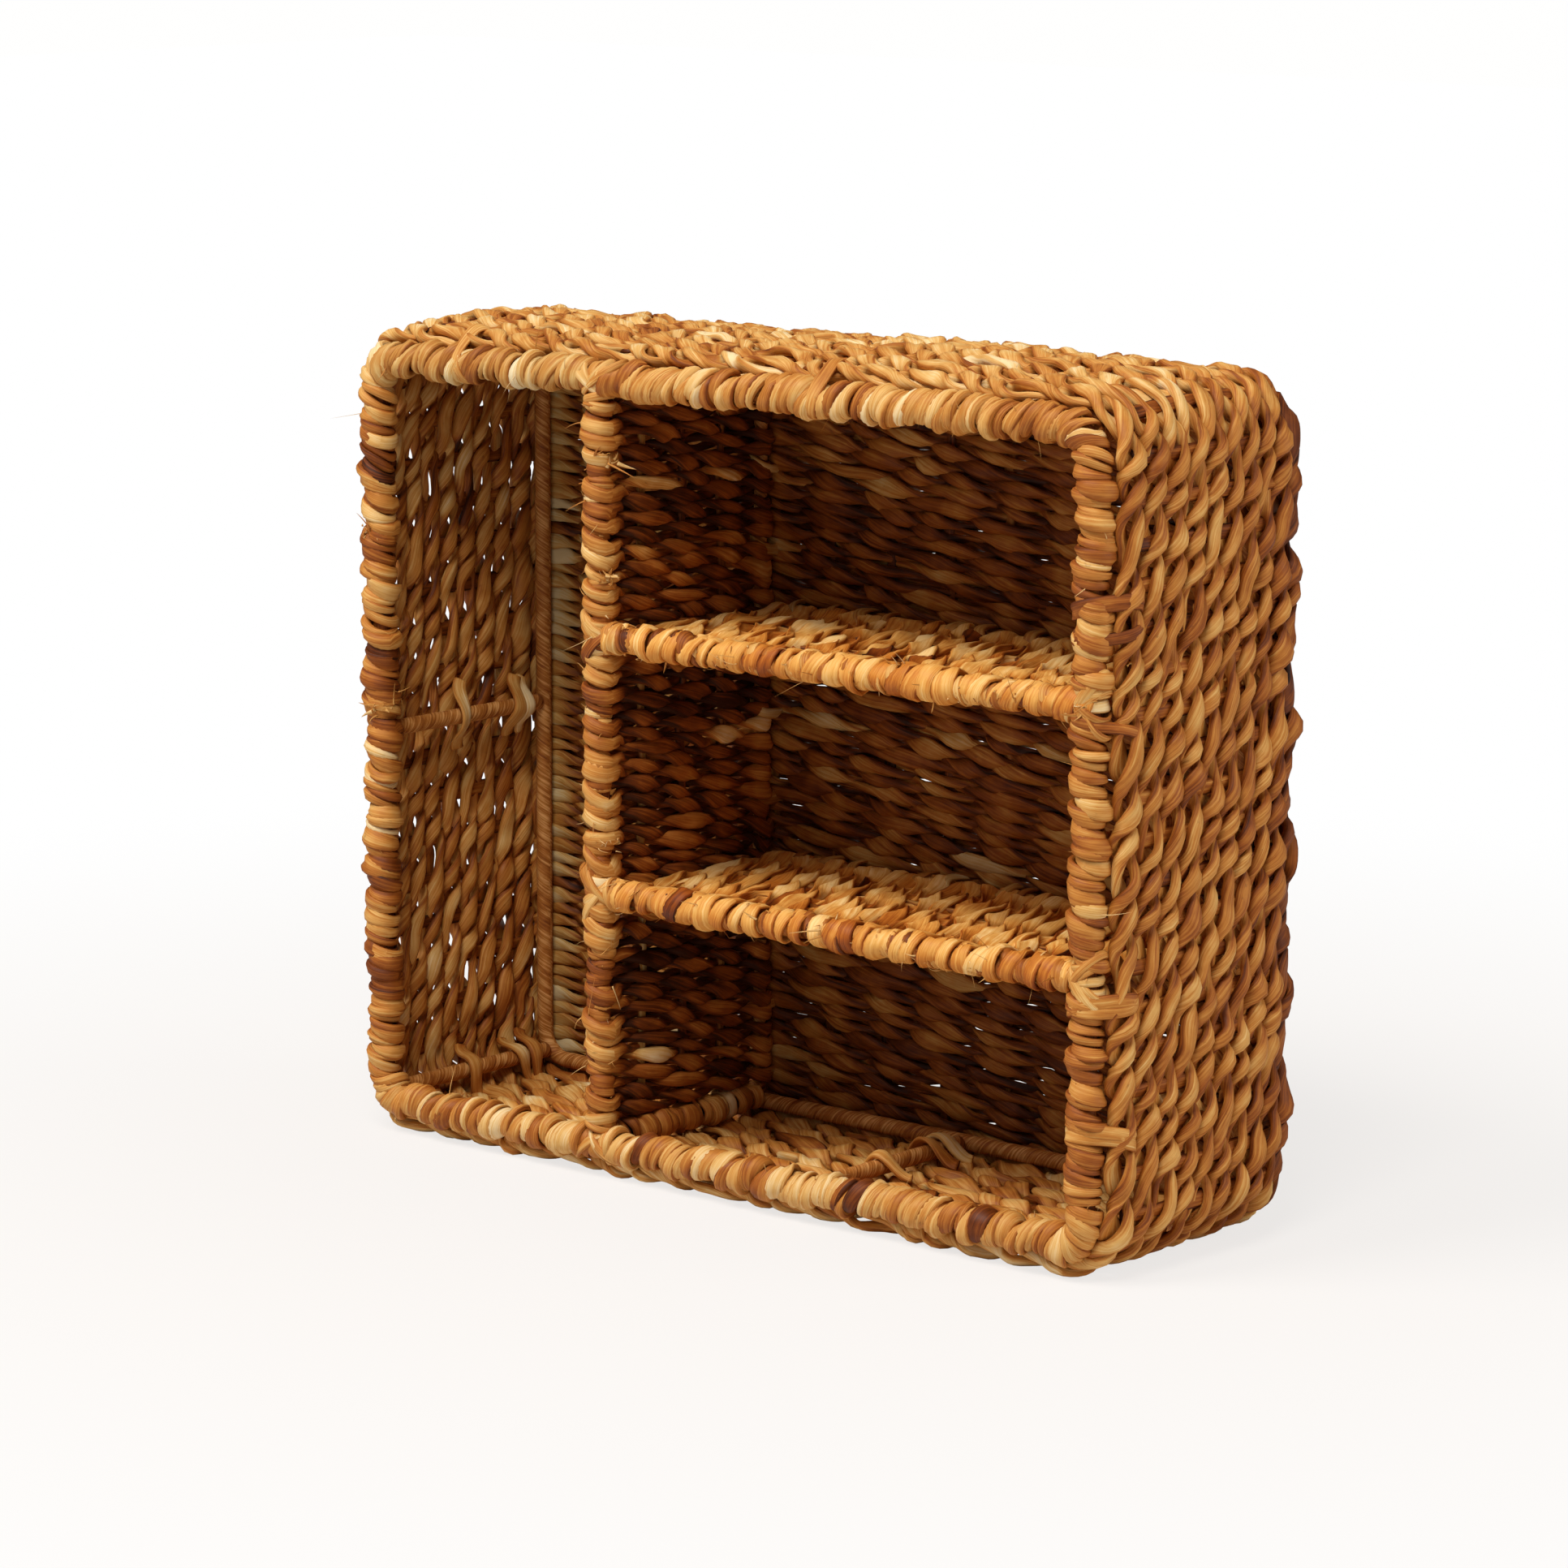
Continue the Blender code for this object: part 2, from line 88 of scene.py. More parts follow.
class Outline:
    """A rounded rectangle in an upright plane, as far outside the rim wire as it is told.

    It is walked anticlockwise, as seen from the mouth, from the start of the bottom right corner: four
    quarter circles joined by straight runs, with the direction that points outwards at each place.
    """

    def __init__(self, outset):
        self.arc = (CORNER + outset) * np.pi / 2
        self.wide = RIGHT_X - LEFT_X - 2 * CORNER
        self.high = TOP_Z - BOTTOM_Z - 2 * CORNER
        turn = np.linspace(0, np.pi / 2, 13)
        corners = [(RIGHT_X - CORNER, BOTTOM_Z + CORNER), (RIGHT_X - CORNER, TOP_Z - CORNER),
                   (LEFT_X + CORNER, TOP_Z - CORNER), (LEFT_X + CORNER, BOTTOM_Z + CORNER)]
        self.angle = np.concatenate([turn + (k - 1) * np.pi / 2 for k in range(4)] + [[1.5 * np.pi]])
        centre = np.repeat(corners, len(turn), axis=0)
        centre = np.vstack([centre, centre[:1]])
        self.x = centre[:, 0] + (CORNER + outset) * np.cos(self.angle)
        self.z = centre[:, 1] + (CORNER + outset) * np.sin(self.angle)
        self.walk = np.append(0, np.cumsum(np.hypot(np.diff(self.x), np.diff(self.z))))
        self.length = self.walk[-1]

    def at(self, s):
        """Place in the plane and outward direction, both as points with no depth, at the distances s."""
        s = np.mod(s, self.length)
        angle, x, z = (np.interp(s, self.walk, values) for values in (self.angle, self.x, self.z))
        none = np.zeros_like(x)
        return np.stack([x, none, z], -1), np.stack([np.cos(angle), none, np.sin(angle)], -1)

    def corner(self, k):
        """Middle of the corner k, counted from the bottom right one."""
        sides = (0, self.high, self.high + self.wide, 2 * self.high + self.wide)
        return (k + 0.5) * self.arc + sides[k]

    def on_right(self, z):
        return self.arc + z - BOTTOM_Z - CORNER

    def on_top(self, x):
        return 2 * self.arc + self.high + RIGHT_X - CORNER - x

    def on_left(self, z):
        return 3 * self.arc + self.high + self.wide + TOP_Z - CORNER - z

    def on_bottom(self, x):
        return 4 * self.arc + 2 * self.high + self.wide + x - LEFT_X - CORNER


def unit(v):
    """Vectors made one long."""
    return v / np.linalg.norm(v, axis=-1, keepdims=True)


def swung(angle, first, second):
    """The first direction turned towards the second one: they are added by the angle's cosine and sine."""
    return np.cos(angle)[..., None] * first + np.sin(angle)[..., None] * second


def eased(t):
    """A ramp from 0 to 1 that starts and ends level."""
    t = np.clip(t, 0, 1)
    return t * t * (3 - 2 * t)


WANDER_SHARES = (1.0, 0.55, 0.3)


def wander(rng, s, length, wave):
    """A slow swing between about -1 and 1 along s, for each row of s: three sines of random phase.

    Each sine fits a whole number of times into length, so a closed strand meets itself.
    """
    swing = np.zeros_like(s)
    for share in WANDER_SHARES:
        count = max(1, round(length / (wave * share)))
        phase = rng.uniform(0, TAU, (len(s), 1))
        swing += share * np.sin(TAU * count * s / length + phase)
    return swing / 1.5


DARK_LEAF, PALE_LEAF = (0.26, 0.4), (0.76, 0.88)
GRAIN_SPREAD = 0.06


def leaf_tones(rng, rows, grains, mean, spread, dark, pale, run=4):
    """Tone of each grain of each strand, 0 for dark brown to 1 for pale straw.

    A run of grains shares the tone of one leaf. A few leaves are dark or pale, and each grain swings a
    little.
    """
    count = grains // run + 2
    tone = rng.normal(mean, spread, (rows, count))
    kind = rng.random((rows, count))
    tone = np.where(kind < dark, rng.uniform(*DARK_LEAF, kind.shape), tone)
    tone = np.where(kind > 1 - pale, rng.uniform(*PALE_LEAF, kind.shape), tone)
    tone = np.repeat(tone, run, axis=1)
    start = rng.integers(0, run, rows)
    tone = np.take_along_axis(tone, start[:, None] + np.arange(grains + 1), axis=1)
    return np.clip(tone + rng.normal(0, GRAIN_SPREAD, tone.shape), 0, 1)


def by_grain(values, place):
    """Value of the grain at each place along a strand, with a short blend into the next grain."""
    whole = np.floor(place).astype(int)
    count = values.shape[1]
    here, there = (np.take_along_axis(values, (whole + k) % count, axis=1) for k in (0, 1))
    return here + (there - here) * eased((place - whole - 0.85) / 0.15)


def shown(name, data):
    """A new object in the scene."""
    piece = bpy.data.objects.new(name, data)
    bpy.context.scene.collection.objects.link(piece)
    return piece


def ring_mesh(name, points, v, closed, attributes, material):
    """A mesh of tubes from rings of points: rows of tubes, stations along each, and points round each ring.

    v is the distance along each tube at each station and at its end. Closed tubes meet themselves, and open
    ones get a flat cap at each end. The first texture coordinate goes once round the ring, the second is v.
    """
    rows, count, sides, _ = points.shape
    last = count if closed else count - 1
    i, k = np.arange(last), np.arange(sides)
    ring, beside, after = i, (i + 1) % count, (k + 1) % sides
    first = np.arange(rows)[:, None, None] * count * sides

    def vertex(station, turn):
        return first + station[None, :, None] * sides + turn[None, None, :]

    quads = np.stack([vertex(ring, k), vertex(beside, k), vertex(beside, after), vertex(ring, after)], -1)
    shape = quads.shape[:3]
    u_here, u_next = (np.broadcast_to((k + step) / sides, shape) for step in (0, 1))
    v_here, v_next = (np.broadcast_to(v[:, step:last + step, None], shape) for step in (0, 1))
    uv = np.stack([np.stack(pair, -1) for pair in
                   ((u_here, v_here), (u_here, v_next), (u_next, v_next), (u_next, v_here))], -2)
    loops, uv = quads.reshape(-1), uv.reshape(-1, 2)
    starts = np.arange(0, len(loops), 4)
    if not closed:
        base = np.arange(rows)[:, None] * count * sides
        caps = np.stack([base + k, base + (count - 1) * sides + k[::-1]], 1).reshape(-1)
        starts = np.append(starts, len(loops) + np.arange(0, len(caps), sides))
        loops = np.append(loops, caps)
        uv = np.vstack([uv, np.zeros((len(caps), 2))])

    mesh = bpy.data.meshes.new(name)
    mesh.vertices.add(points.size // 3)
    mesh.vertices.foreach_set("co", points.astype(np.float32).ravel())
    mesh.loops.add(len(loops))
    mesh.loops.foreach_set("vertex_index", loops.astype(np.int32))
    mesh.polygons.add(len(starts))
    mesh.polygons.foreach_set("loop_start", starts.astype(np.int32))
    mesh.update(calc_edges=True)
    mesh.polygons.foreach_set("use_smooth", np.ones(len(starts), bool))
    mesh.uv_layers.new(name="leaf").data.foreach_set("uv", uv.astype(np.float32).ravel())
    for label, values in attributes.items():
        spread = np.repeat(np.broadcast_to(values, (rows, count)), sides)
        mesh.attributes.new(label, "FLOAT", "POINT").data.foreach_set("value", spread.astype(np.float32))
    mesh.materials.append(material)
    piece = shown(name, mesh)
    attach(piece, "root")
    return piece


def frames(path, face, closed):
    """Directions at each place of each path: across it, and up, which is face squared to the path."""
    along = unit(np.roll(path, -1, 1) - np.roll(path, 1, 1) if closed else np.gradient(path, axis=1))
    across = unit(np.cross(along, face))
    return across, np.cross(across, along)


def walked(path):
    """Distance along each path at each place and, past the last one, back at the first."""
    steps = np.linalg.norm(np.diff(path, axis=1, append=path[:, :1]), axis=-1)
    return np.append(np.zeros((len(path), 1)), np.cumsum(steps, axis=1), axis=1)


LEAF_TWIST = 0.22
ROLL_WAVES = (5 * MM, 13 * MM)
FULLNESS = 0.8
INNER_RISE = 0.75
CREASES = ((17 * MM, 0.35, 0.4), (29 * MM, -0.4, 0.3))
CREASE_WIDTH = 0.2
CREASE_SWING = 0.3


def strands(name, path, face, width, depth, tone, material, rng, closed=False, sides=LEAF_SIDES):
    """Flattened leaf strands: at each place of each path a ring, width to each side and depth up and down.

    The ring's reach is a cosine made fuller, its rise a sine that is lower on the inner face. Two creases
    run along each strand, where the rise is pressed in, and the leaf rolls a little to and fro.
    """
    rows, count, _ = path.shape
    across, up = frames(path, face, closed)
    v = walked(path)
    place = v[:, :-1]

    def phase():
        return rng.uniform(0, TAU, (rows, 1))

    roll = LEAF_TWIST * sum(np.sin(place / wave + phase()) for wave in ROLL_WAVES)
    across, up = swung(roll, across, up), swung(roll, up, -across)
    width, depth = (np.broadcast_to(size, (rows, count))[..., None] for size in (width, depth))
    angle = TAU * np.arange(sides) / sides
    reach = np.sign(np.cos(angle)) * np.abs(np.cos(angle)) ** FULLNESS
    pressed = 1.0
    for wave, mean, press in CREASES:
        line = mean + CREASE_SWING * np.sin(place / wave + phase())
        fade = 0.5 + 0.5 * np.sin(place / (1.7 * wave) + phase())
        pressed = pressed - press * fade[..., None] * np.exp(-((reach - line[..., None]) / CREASE_WIDTH) ** 2)
    rise = np.sin(angle) * np.where(np.sin(angle) > 0, 1.0, INNER_RISE) * pressed
    points = (path[:, :, None] + across[:, :, None] * (width * reach)[..., None]
              + up[:, :, None] * (depth * rise)[..., None])
    points[..., 2] = np.maximum(points[..., 2], 0)
    seed = np.broadcast_to(rng.uniform(0, 50, (rows, 1)), (rows, count))
    return ring_mesh(name, points, v, closed, {"tone": tone, "seed": seed}, material)


# Materials


class Nodes:
    """A node tree, with a short way to add each kind of node that the finishes use."""

    def __init__(self, tree):
        self.tree = tree

    def feed(self, node, given):
        """What is given for a node, by label or in order: sockets are linked and other values are set."""
        for label, value in given.items() if isinstance(given, dict) else enumerate(given):
            if isinstance(value, bpy.types.NodeSocket):
                self.tree.links.new(value, node.inputs[label])
            else:
                node.inputs[label].default_value = value

    def add(self, kind, given=(), **settings):
        """A shader node with its settings and what feeds it."""
        node = self.tree.nodes.new("ShaderNode" + kind)
        for key, value in settings.items():
            setattr(node, key, value)
        self.feed(node, given)
        return node

    def maths(self, operation, *values):
        return self.add("Math", values, operation=operation).outputs[0]

    def noise(self, place, detail, rough=0.5, scale=1):
        """Noise at a place, which is a vector or a list of its parts."""
        if isinstance(place, list):
            place = self.add("CombineXYZ", place).outputs[0]
        given = {"Vector": place, "Scale": scale, "Detail": detail, "Roughness": rough}
        return self.add("TexNoise", given).outputs[0]

    def between(self, value, start, end, low, high, kind="LINEAR"):
        """A value that goes from low to high as the given one goes from start to end."""
        return self.add("MapRange", (value, start, end, low, high), interpolation_type=kind).outputs[0]

    def ramp(self, value, stops):
        """Colours along a value."""
        node = self.add("ValToRGB", [value])
        elements = node.color_ramp.elements
        while len(elements) < len(stops):
            elements.new(0.5)
        for element, (place, colour) in zip(elements, stops):
            element.position = place
            element.color = (*colour, 1)
        return node.outputs[0]

    def mix(self, share, first, second, blend="MIX"):
        """Two colours mixed."""
        given = {"Factor": share, "A": first, "B": second}
        return self.add("Mix", given, data_type="RGBA", blend_type=blend).outputs["Result"]

    def bump(self, height, strength, distance):
        """A normal bent by a height."""
        return self.add("Bump", {"Height": height, "Strength": strength, "Distance": distance}).outputs[0]


def finish(name):
    """A new material, its nodes and its shader."""
    material = bpy.data.materials.new(name)
    material.use_nodes = True
    return material, Nodes(material.node_tree), material.node_tree.nodes["Principled BSDF"]


LEAF_SOCKETS = {"INPUT": (("Tone", "Float"), ("Place", "Vector"), ("Seed", "Float"), ("Tint", "Color")),
                "OUTPUT": (("Color", "Color"), ("Roughness", "Float"), ("Height", "Float"))}
LEAF_NOISES = ((26, 45, 4, 0.6), (60, 20, 2, 0.6), (2.2, 55, 3, 0.6), (5, 160, 3, 0.7))
LEAF_COLOURS = ((0.0, (0.035, 0.008, 0.002)), (0.2, (0.15, 0.032, 0.004)), (0.4, (0.33, 0.090, 0.011)),
                (0.6, (0.54, 0.215, 0.038)), (0.8, (0.71, 0.41, 0.125)), (1.0, (0.84, 0.64, 0.35)))
STAIN_COLOUR = (0.09, 0.03, 0.012, 1)


def leaf_group():
    """Dried leaf: colour, roughness and height from its tone and from fibres that run along it.

    Each noise is stretched along the leaf: so many waves round it and so many per metre along it.
    """
    tree = bpy.data.node_groups.new("dried leaf", "ShaderNodeTree")
    for way, sockets in LEAF_SOCKETS.items():
        for label, kind in sockets:
            tree.interface.new_socket(label, in_out=way, socket_type="NodeSocket" + kind)
    nodes = Nodes(tree)
    maths = nodes.maths
    given = tree.nodes.new("NodeGroupInput").outputs
    turn, along = nodes.add("SeparateXYZ", [given["Place"]]).outputs[:2]
    fibre, vein, blotch, stain = (
        nodes.noise([maths("MULTIPLY", turn, across), maths("MULTIPLY", along, lengthways), given["Seed"]],
                    detail, rough) for across, lengthways, detail, rough in LEAF_NOISES)
    tone = given["Tone"]
    for field, share in ((fibre, 0.75), (blotch, 0.7), (vein, 0.25)):
        tone = maths("ADD", tone, maths("MULTIPLY", maths("SUBTRACT", field, 0.5), share))
    # Each strand is darker along its two edges: partly the browner edge of a dried leaf, partly painted shade
    # where it meets its neighbours.
    rise = maths("ABSOLUTE", maths("SINE", maths("MULTIPLY", turn, TAU)))
    tone = maths("ADD", tone, nodes.between(rise, 0.15, 0.8, -0.17, 0.02, "SMOOTHSTEP"))
    share = nodes.between(stain, 0.66, 0.78, 0.0, 0.55)
    stained = nodes.mix(share, nodes.ramp(tone, LEAF_COLOURS), STAIN_COLOUR)
    nodes.feed(tree.nodes.new("NodeGroupOutput"), {
        "Color": nodes.mix(1, stained, given["Tint"], "MULTIPLY"),
        "Roughness": nodes.between(blotch, 0.25, 0.75, 0.42, 0.72),
        "Height": maths("ADD", maths("MULTIPLY", fibre, 0.6), maths("MULTIPLY", vein, 0.5))})
    return tree


LEAF = leaf_group()


def seagrass(name, tint=(1, 1, 1)):
    """Dried seagrass leaf, matte to satin."""
    material, nodes, shader = finish(name)
    given = {"Place": nodes.add("UVMap", uv_map="leaf").outputs[0], "Tint": (*tint, 1)}
    for label in ("tone", "seed"):
        given[label.capitalize()] = nodes.add("Attribute", attribute_name=label).outputs["Fac"]
    leaf = nodes.add("Group", given, node_tree=LEAF).outputs
    nodes.feed(shader, {"Base Color": leaf["Color"], "Roughness": leaf["Roughness"],
                        "Specular IOR Level": 0.22, "Normal": nodes.bump(leaf["Height"], 0.5, 0.4 * MM)})
    return material


STEEL_COLOUR = (0.28, 0.26, 0.24)
STEEL_MOTTLE = ((0.3, 0.85), (0.7, 1.15))


def plain_wire():
    """Drawn wire with a fine mottle in its colour, on object coordinates."""
    material, nodes, shader = finish("plain wire")
    field = nodes.noise(nodes.add("TexCoord").outputs["Object"], 4, scale=900)
    stops = [(place, [share * part for part in STEEL_COLOUR]) for place, share in STEEL_MOTTLE]
    nodes.feed(shader, {"Base Color": nodes.ramp(field, stops), "Roughness": 0.4, "Metallic": 1.0,
                        "Normal": nodes.bump(field, 0.3, 0.2 * MM)})
    return material


TAPE_PITCH = 12 * MM
TAPE_COLOURS = ((0.0, (0.09, 0.022, 0.005)), (0.3, (0.27, 0.076, 0.011)), (0.6, (0.43, 0.15, 0.025)),
                (1.0, (0.72, 0.37, 0.12)))


def paper_tape():
    """Brown paper tape wound round wire: hairlines along the tape and a raised, darker lap once each turn."""
    material, nodes, shader = finish("brown paper tape")
    maths = nodes.maths
    turn, along = nodes.add("SeparateXYZ", [nodes.add("UVMap", uv_map="leaf").outputs[0]]).outputs[:2]
    turns = maths("SUBTRACT", maths("MULTIPLY", along, 1 / TAPE_PITCH), turn)
    wobble = nodes.noise([maths("MULTIPLY", along, 60), maths("MULTIPLY", turn, 1.5)], 1)
    hair = nodes.noise([maths("MULTIPLY", turns, 14), maths("MULTIPLY", turn, 1.5)], 3)
    patch = nodes.noise([maths("MULTIPLY", along, 120), maths("MULTIPLY", turn, 2)], 3)
    lap = maths("FRACT", maths("ADD", turns, maths("MULTIPLY", wobble, 1.6)))
    seam = nodes.between(lap, 0.0, 0.09, -0.12, 0.0, "SMOOTHSTEP")
    tone = maths("ADD", maths("SUBTRACT", maths("ADD", maths("MULTIPLY", hair, 1.9), patch), 0.82), seam)
    height = maths("ADD", maths("MULTIPLY", hair, 0.5), maths("MULTIPLY", lap, -0.3))
    nodes.feed(shader, {"Base Color": nodes.ramp(tone, TAPE_COLOURS), "Roughness": 0.62,
                        "Specular IOR Level": 0.25, "Normal": nodes.bump(height, 0.6, 0.4 * MM)})
    return material


WALL_LEAF = seagrass("seagrass of the walls")
RAIL_LEAF = seagrass("seagrass of the rails")
# The top left rail's leaf is tinted paler and cooler: partly its cream leaves, partly painted light from
# above.
TOP_LEAF = seagrass("seagrass of the top rail", (0.94, 1.02, 1.15))
# The back's leaf is tinted darker: painted shade for the inside of the basket.
PANEL_LEAF = seagrass("seagrass of the back", (0.70, 0.70, 0.66))
SHELF_LEAF = seagrass("seagrass of the shelves", (1.1, 0.97, 0.74))
PAPER_TAPE = paper_tape()
BARE_WIRE = plain_wire()

for label, solid in frame["nodes"].items():
    solid.data.materials.clear()
    steel = label == "rim_wire" or label.endswith(("front_wire", "foot_wire", "head_wire"))
    solid.data.materials.append(BARE_WIRE if steel else PAPER_TAPE)


# Walls

COURSES = 9
WALL_MIDDLE = 8 * MM
WALL_BOW = 3 * MM
SIDE_LEAN = 2 * MM
RIGHT_LEAN = 1.6 * MM
TOP_SWELL, SWELL_X, SWELL_HALF = 3 * MM, 0.08, 0.06
WALL = Outline(WALL_MIDDLE)
STAKES_BY_SIDE = (20, 20, 18, 20)
STAKES = sum(STAKES_BY_SIDE)
WALL_KNOTS = np.array([WALL.corner(k) for k in range(4)] + [WALL.corner(0) + WALL.length])
WALL_COUNTS = np.cumsum((0,) + STAKES_BY_SIDE)

CRESCENT = 0.38
COURSE_SWING, COURSE_SWAY = 2.25 * MM, 3.0 * MM
COURSE_WIDTH, COURSE_DEPTH = 4.2 * MM, 2.0 * MM
COURSE_TONES = (0.63, 0.05, 0.02, 0.02)
COURSE_SLACK = 0.7 * MM
FIRST_FORWARD = 0.8 * MM
FIRST_DROP = 2.0 * MM
EDGE_Y, EDGE_INSET = 3.6 * MM, 2.2 * MM
WALL_STAKE_WIDTH, WALL_STAKE_DEPTH = 3.0 * MM, 1.3 * MM


def stakes_passed(s):
    """How many stakes a walk along the wall has passed, as a number that grows evenly along each side."""
    whole = np.floor((s - WALL_KNOTS[0]) / WALL.length)
    return np.interp(s - whole * WALL.length, WALL_KNOTS, WALL_COUNTS) + whole * STAKES


def arch(number):
    """A half sine over the nine courses, from the mouth to the back."""
    return np.sin(np.pi * (number + 0.5) / COURSES)


def bowed(number, outward):
    """How far a course stands out: a half sine over the nine courses, and none at the bottom.

    The side walls lean outwards a little towards the back, the right one more than the left one.
    """
    lean = SIDE_LEAN * np.abs(outward[..., 0]) + RIGHT_LEAN * np.clip(outward[..., 0], 0, 1)
    return (WALL_BOW * arch(number) + lean * (number + 0.5) / COURSES) * np.clip(1 + outward[..., 2], 0, 1)


def sideways(s):
    """How far the courses wander together to the mouth and the back, at the distances s."""
    return 1.1 * MM * wander(np.random.default_rng(5), s, WALL.length, 110 * MM)


def wall_course(number, name, middle_y, inset=0.0):
    """A pair of strands that twine along the wall: each swings out as a cosine and aside as an early sine.

    A half turn of the pair takes one stake, and the two strands are half a turn apart. As the sine runs ahead
    of the cosine, each grain is a crescent that bends back at its end. The last course is the widest, and the
    first one hangs forward under the bottom rail in scallops. The top swells out in its right half. Grains
    on the inner face of the left wall are slimmer and leave gaps, and so are the outer grains of the other
    walls.
    """
    rng = np.random.default_rng(100 + number)
    count, length, grains = STAKES * STATIONS_PER_GRAIN, WALL.length, STAKES + 2
    s = np.broadcast_to(np.arange(count) * length / count, (2, count))
    place, outward = WALL.at(s)
    on_right, on_left = np.clip(outward[..., 0], 0, 1), np.clip(-outward[..., 0], 0, 1)
    on_top, on_bottom = np.clip(outward[..., 2], 0, 1), np.clip(-outward[..., 2], 0, 1)
    bend = 4 * (on_right * on_top) ** 2
    last = (number + 1) / COURSES

    def waver(wave, both=True):
        return wander(rng, s if both else s[:1], length, wave * MM)

    drift = waver(70, False)
    phase = np.pi * (stakes_passed(s) + 0.34 * drift) + np.array([[0.0], [np.pi]])
    cosine = np.cos(phase)
    crest = np.clip(cosine, 0, 1)
    grain = phase / np.pi + 4.5
    slack = by_grain(np.abs(rng.normal(0, COURSE_SLACK, (2, grains))), grain) * crest * (1 - on_bottom)
    slack = slack * (0.5 + 0.4 * on_right - 0.3 * on_top) * (1 - 0.6 * bend)
    swing = COURSE_SWING * (1 - 0.25 * on_top - 0.1 * on_right - 0.1 * bend) * (1 + 0.12 * waver(70)) + slack
    lumps = (0.5 + 0.7 * last ** 6) * MM * waver(45, False) * (1 - on_bottom)
    swell = TOP_SWELL * np.exp(-((place[..., 0] - SWELL_X) / SWELL_HALF) ** 2) * arch(number) * on_top
    out = bowed(number, outward) - inset + swing * cosine + lumps + swell
    early = CRESCENT * (1 + 0.25 * waver(60))
    aside = (COURSE_SWAY + 0.4 * MM * on_top) * np.sin(phase + early) + 0.5 * MM * waver(50, False)
    first = (number == 0) * on_bottom
    drop = (FIRST_DROP + (2.1 + 1.5 * waver(60, False)) * MM * crest) * first
    path = place + out[..., None] * outward
    path[..., 1] += middle_y + aside + sideways(s) * arch(number) - drop
    face = cosine[..., None] * outward + 0.5 * np.sin(phase + 0.5 * early)[..., None] * AXIS_Y
    outer = eased(0.5 + 0.8 * cosine)
    slimmer = 1.25 * (1 - outer) * on_left + 0.4 * bend + 1.2 * outer * (1 - on_left)
    width = COURSE_WIDTH + (0.35 * on_top - slimmer) * MM
    width = width * (1 + 0.13 * by_grain(rng.normal(0, 1, (2, grains)), grain))
    width = width * (0.68 + 0.37 * cosine ** 2) * (1 + 0.2 * last ** 8)
    depth = (COURSE_DEPTH + 0.25 * MM * on_right) * (1 + 0.12 * waver(30))
    tone = by_grain(leaf_tones(rng, 2, grains, *COURSE_TONES, run=2), grain)
    tone = tone + 0.35 * on_right * (0.64 - tone)
    # Painted light: the top face is made paler and the side walls a little darker, as the light falls from
    # above, and the first course's lip under the bottom rail is made paler where the rail shades it.
    tone = tone + 0.09 * on_top - 0.02 * on_left - 0.04 * on_right + 0.16 * first
    # Painted shade: each grain is darker towards its ends, where it dives under the other strand. The last
    # course of the right wall is darker too.
    tone = tone - 0.08 * (1 - cosine ** 2) - 0.12 * on_right * last ** 8
    return strands(name, path, face, width, depth, tone, WALL_LEAF, rng, closed=True)


for number in range(COURSES):
    course_y = middle_of(f"wall_course_{number + 1}")[1] - FIRST_FORWARD * (number == 0)
    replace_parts(wall_course(number, f"course_{number + 1}", course_y), f"wall_course_{number + 1}")
wall_course(COURSES, "edge_course", box("base_weave")[0][1] + EDGE_Y, EDGE_INSET)


def wall_stakes():
    """Thin cords that run from the mouth to the back inside the courses, one for each half turn."""
    rng = np.random.default_rng(31)
    s = np.interp(np.arange(STAKES), WALL_COUNTS, WALL_KNOTS)
    front, back = box("wall_course_1")[0][1], box("wall_course_9")[1][1]
    y = np.linspace(front + 5 * MM, back, 24)
    place, outward = WALL.at(s)
    out = np.stack([bowed(n, outward) for n in (y - front) / (back - front) * COURSES - 0.5], 1)
    path = place[:, None] + out[..., None] * outward[:, None]
    path[..., 1] = y
    face = np.broadcast_to(outward[:, None], path.shape)
    # Painted shade: the stakes are made dark, as they show only in the shaded gaps of the courses.
    tone = np.clip(rng.normal(0.3, 0.08, (STAKES, 1)), 0, 1)
    strands("wall_stakes", path, face, WALL_STAKE_WIDTH, WALL_STAKE_DEPTH, tone, WALL_LEAF, rng, sides=6)


wall_stakes()


# Woven panels

HOOK_LENGTH, NEAR_LENGTH, FAR_LENGTH, PAINTED_LIGHT_LENGTH = 11 * MM, 14 * MM, 9 * MM, 110 * MM
PATCH_HALF = 0.035
TURN_STATIONS = 8
OPEN_SHARE = 0.45


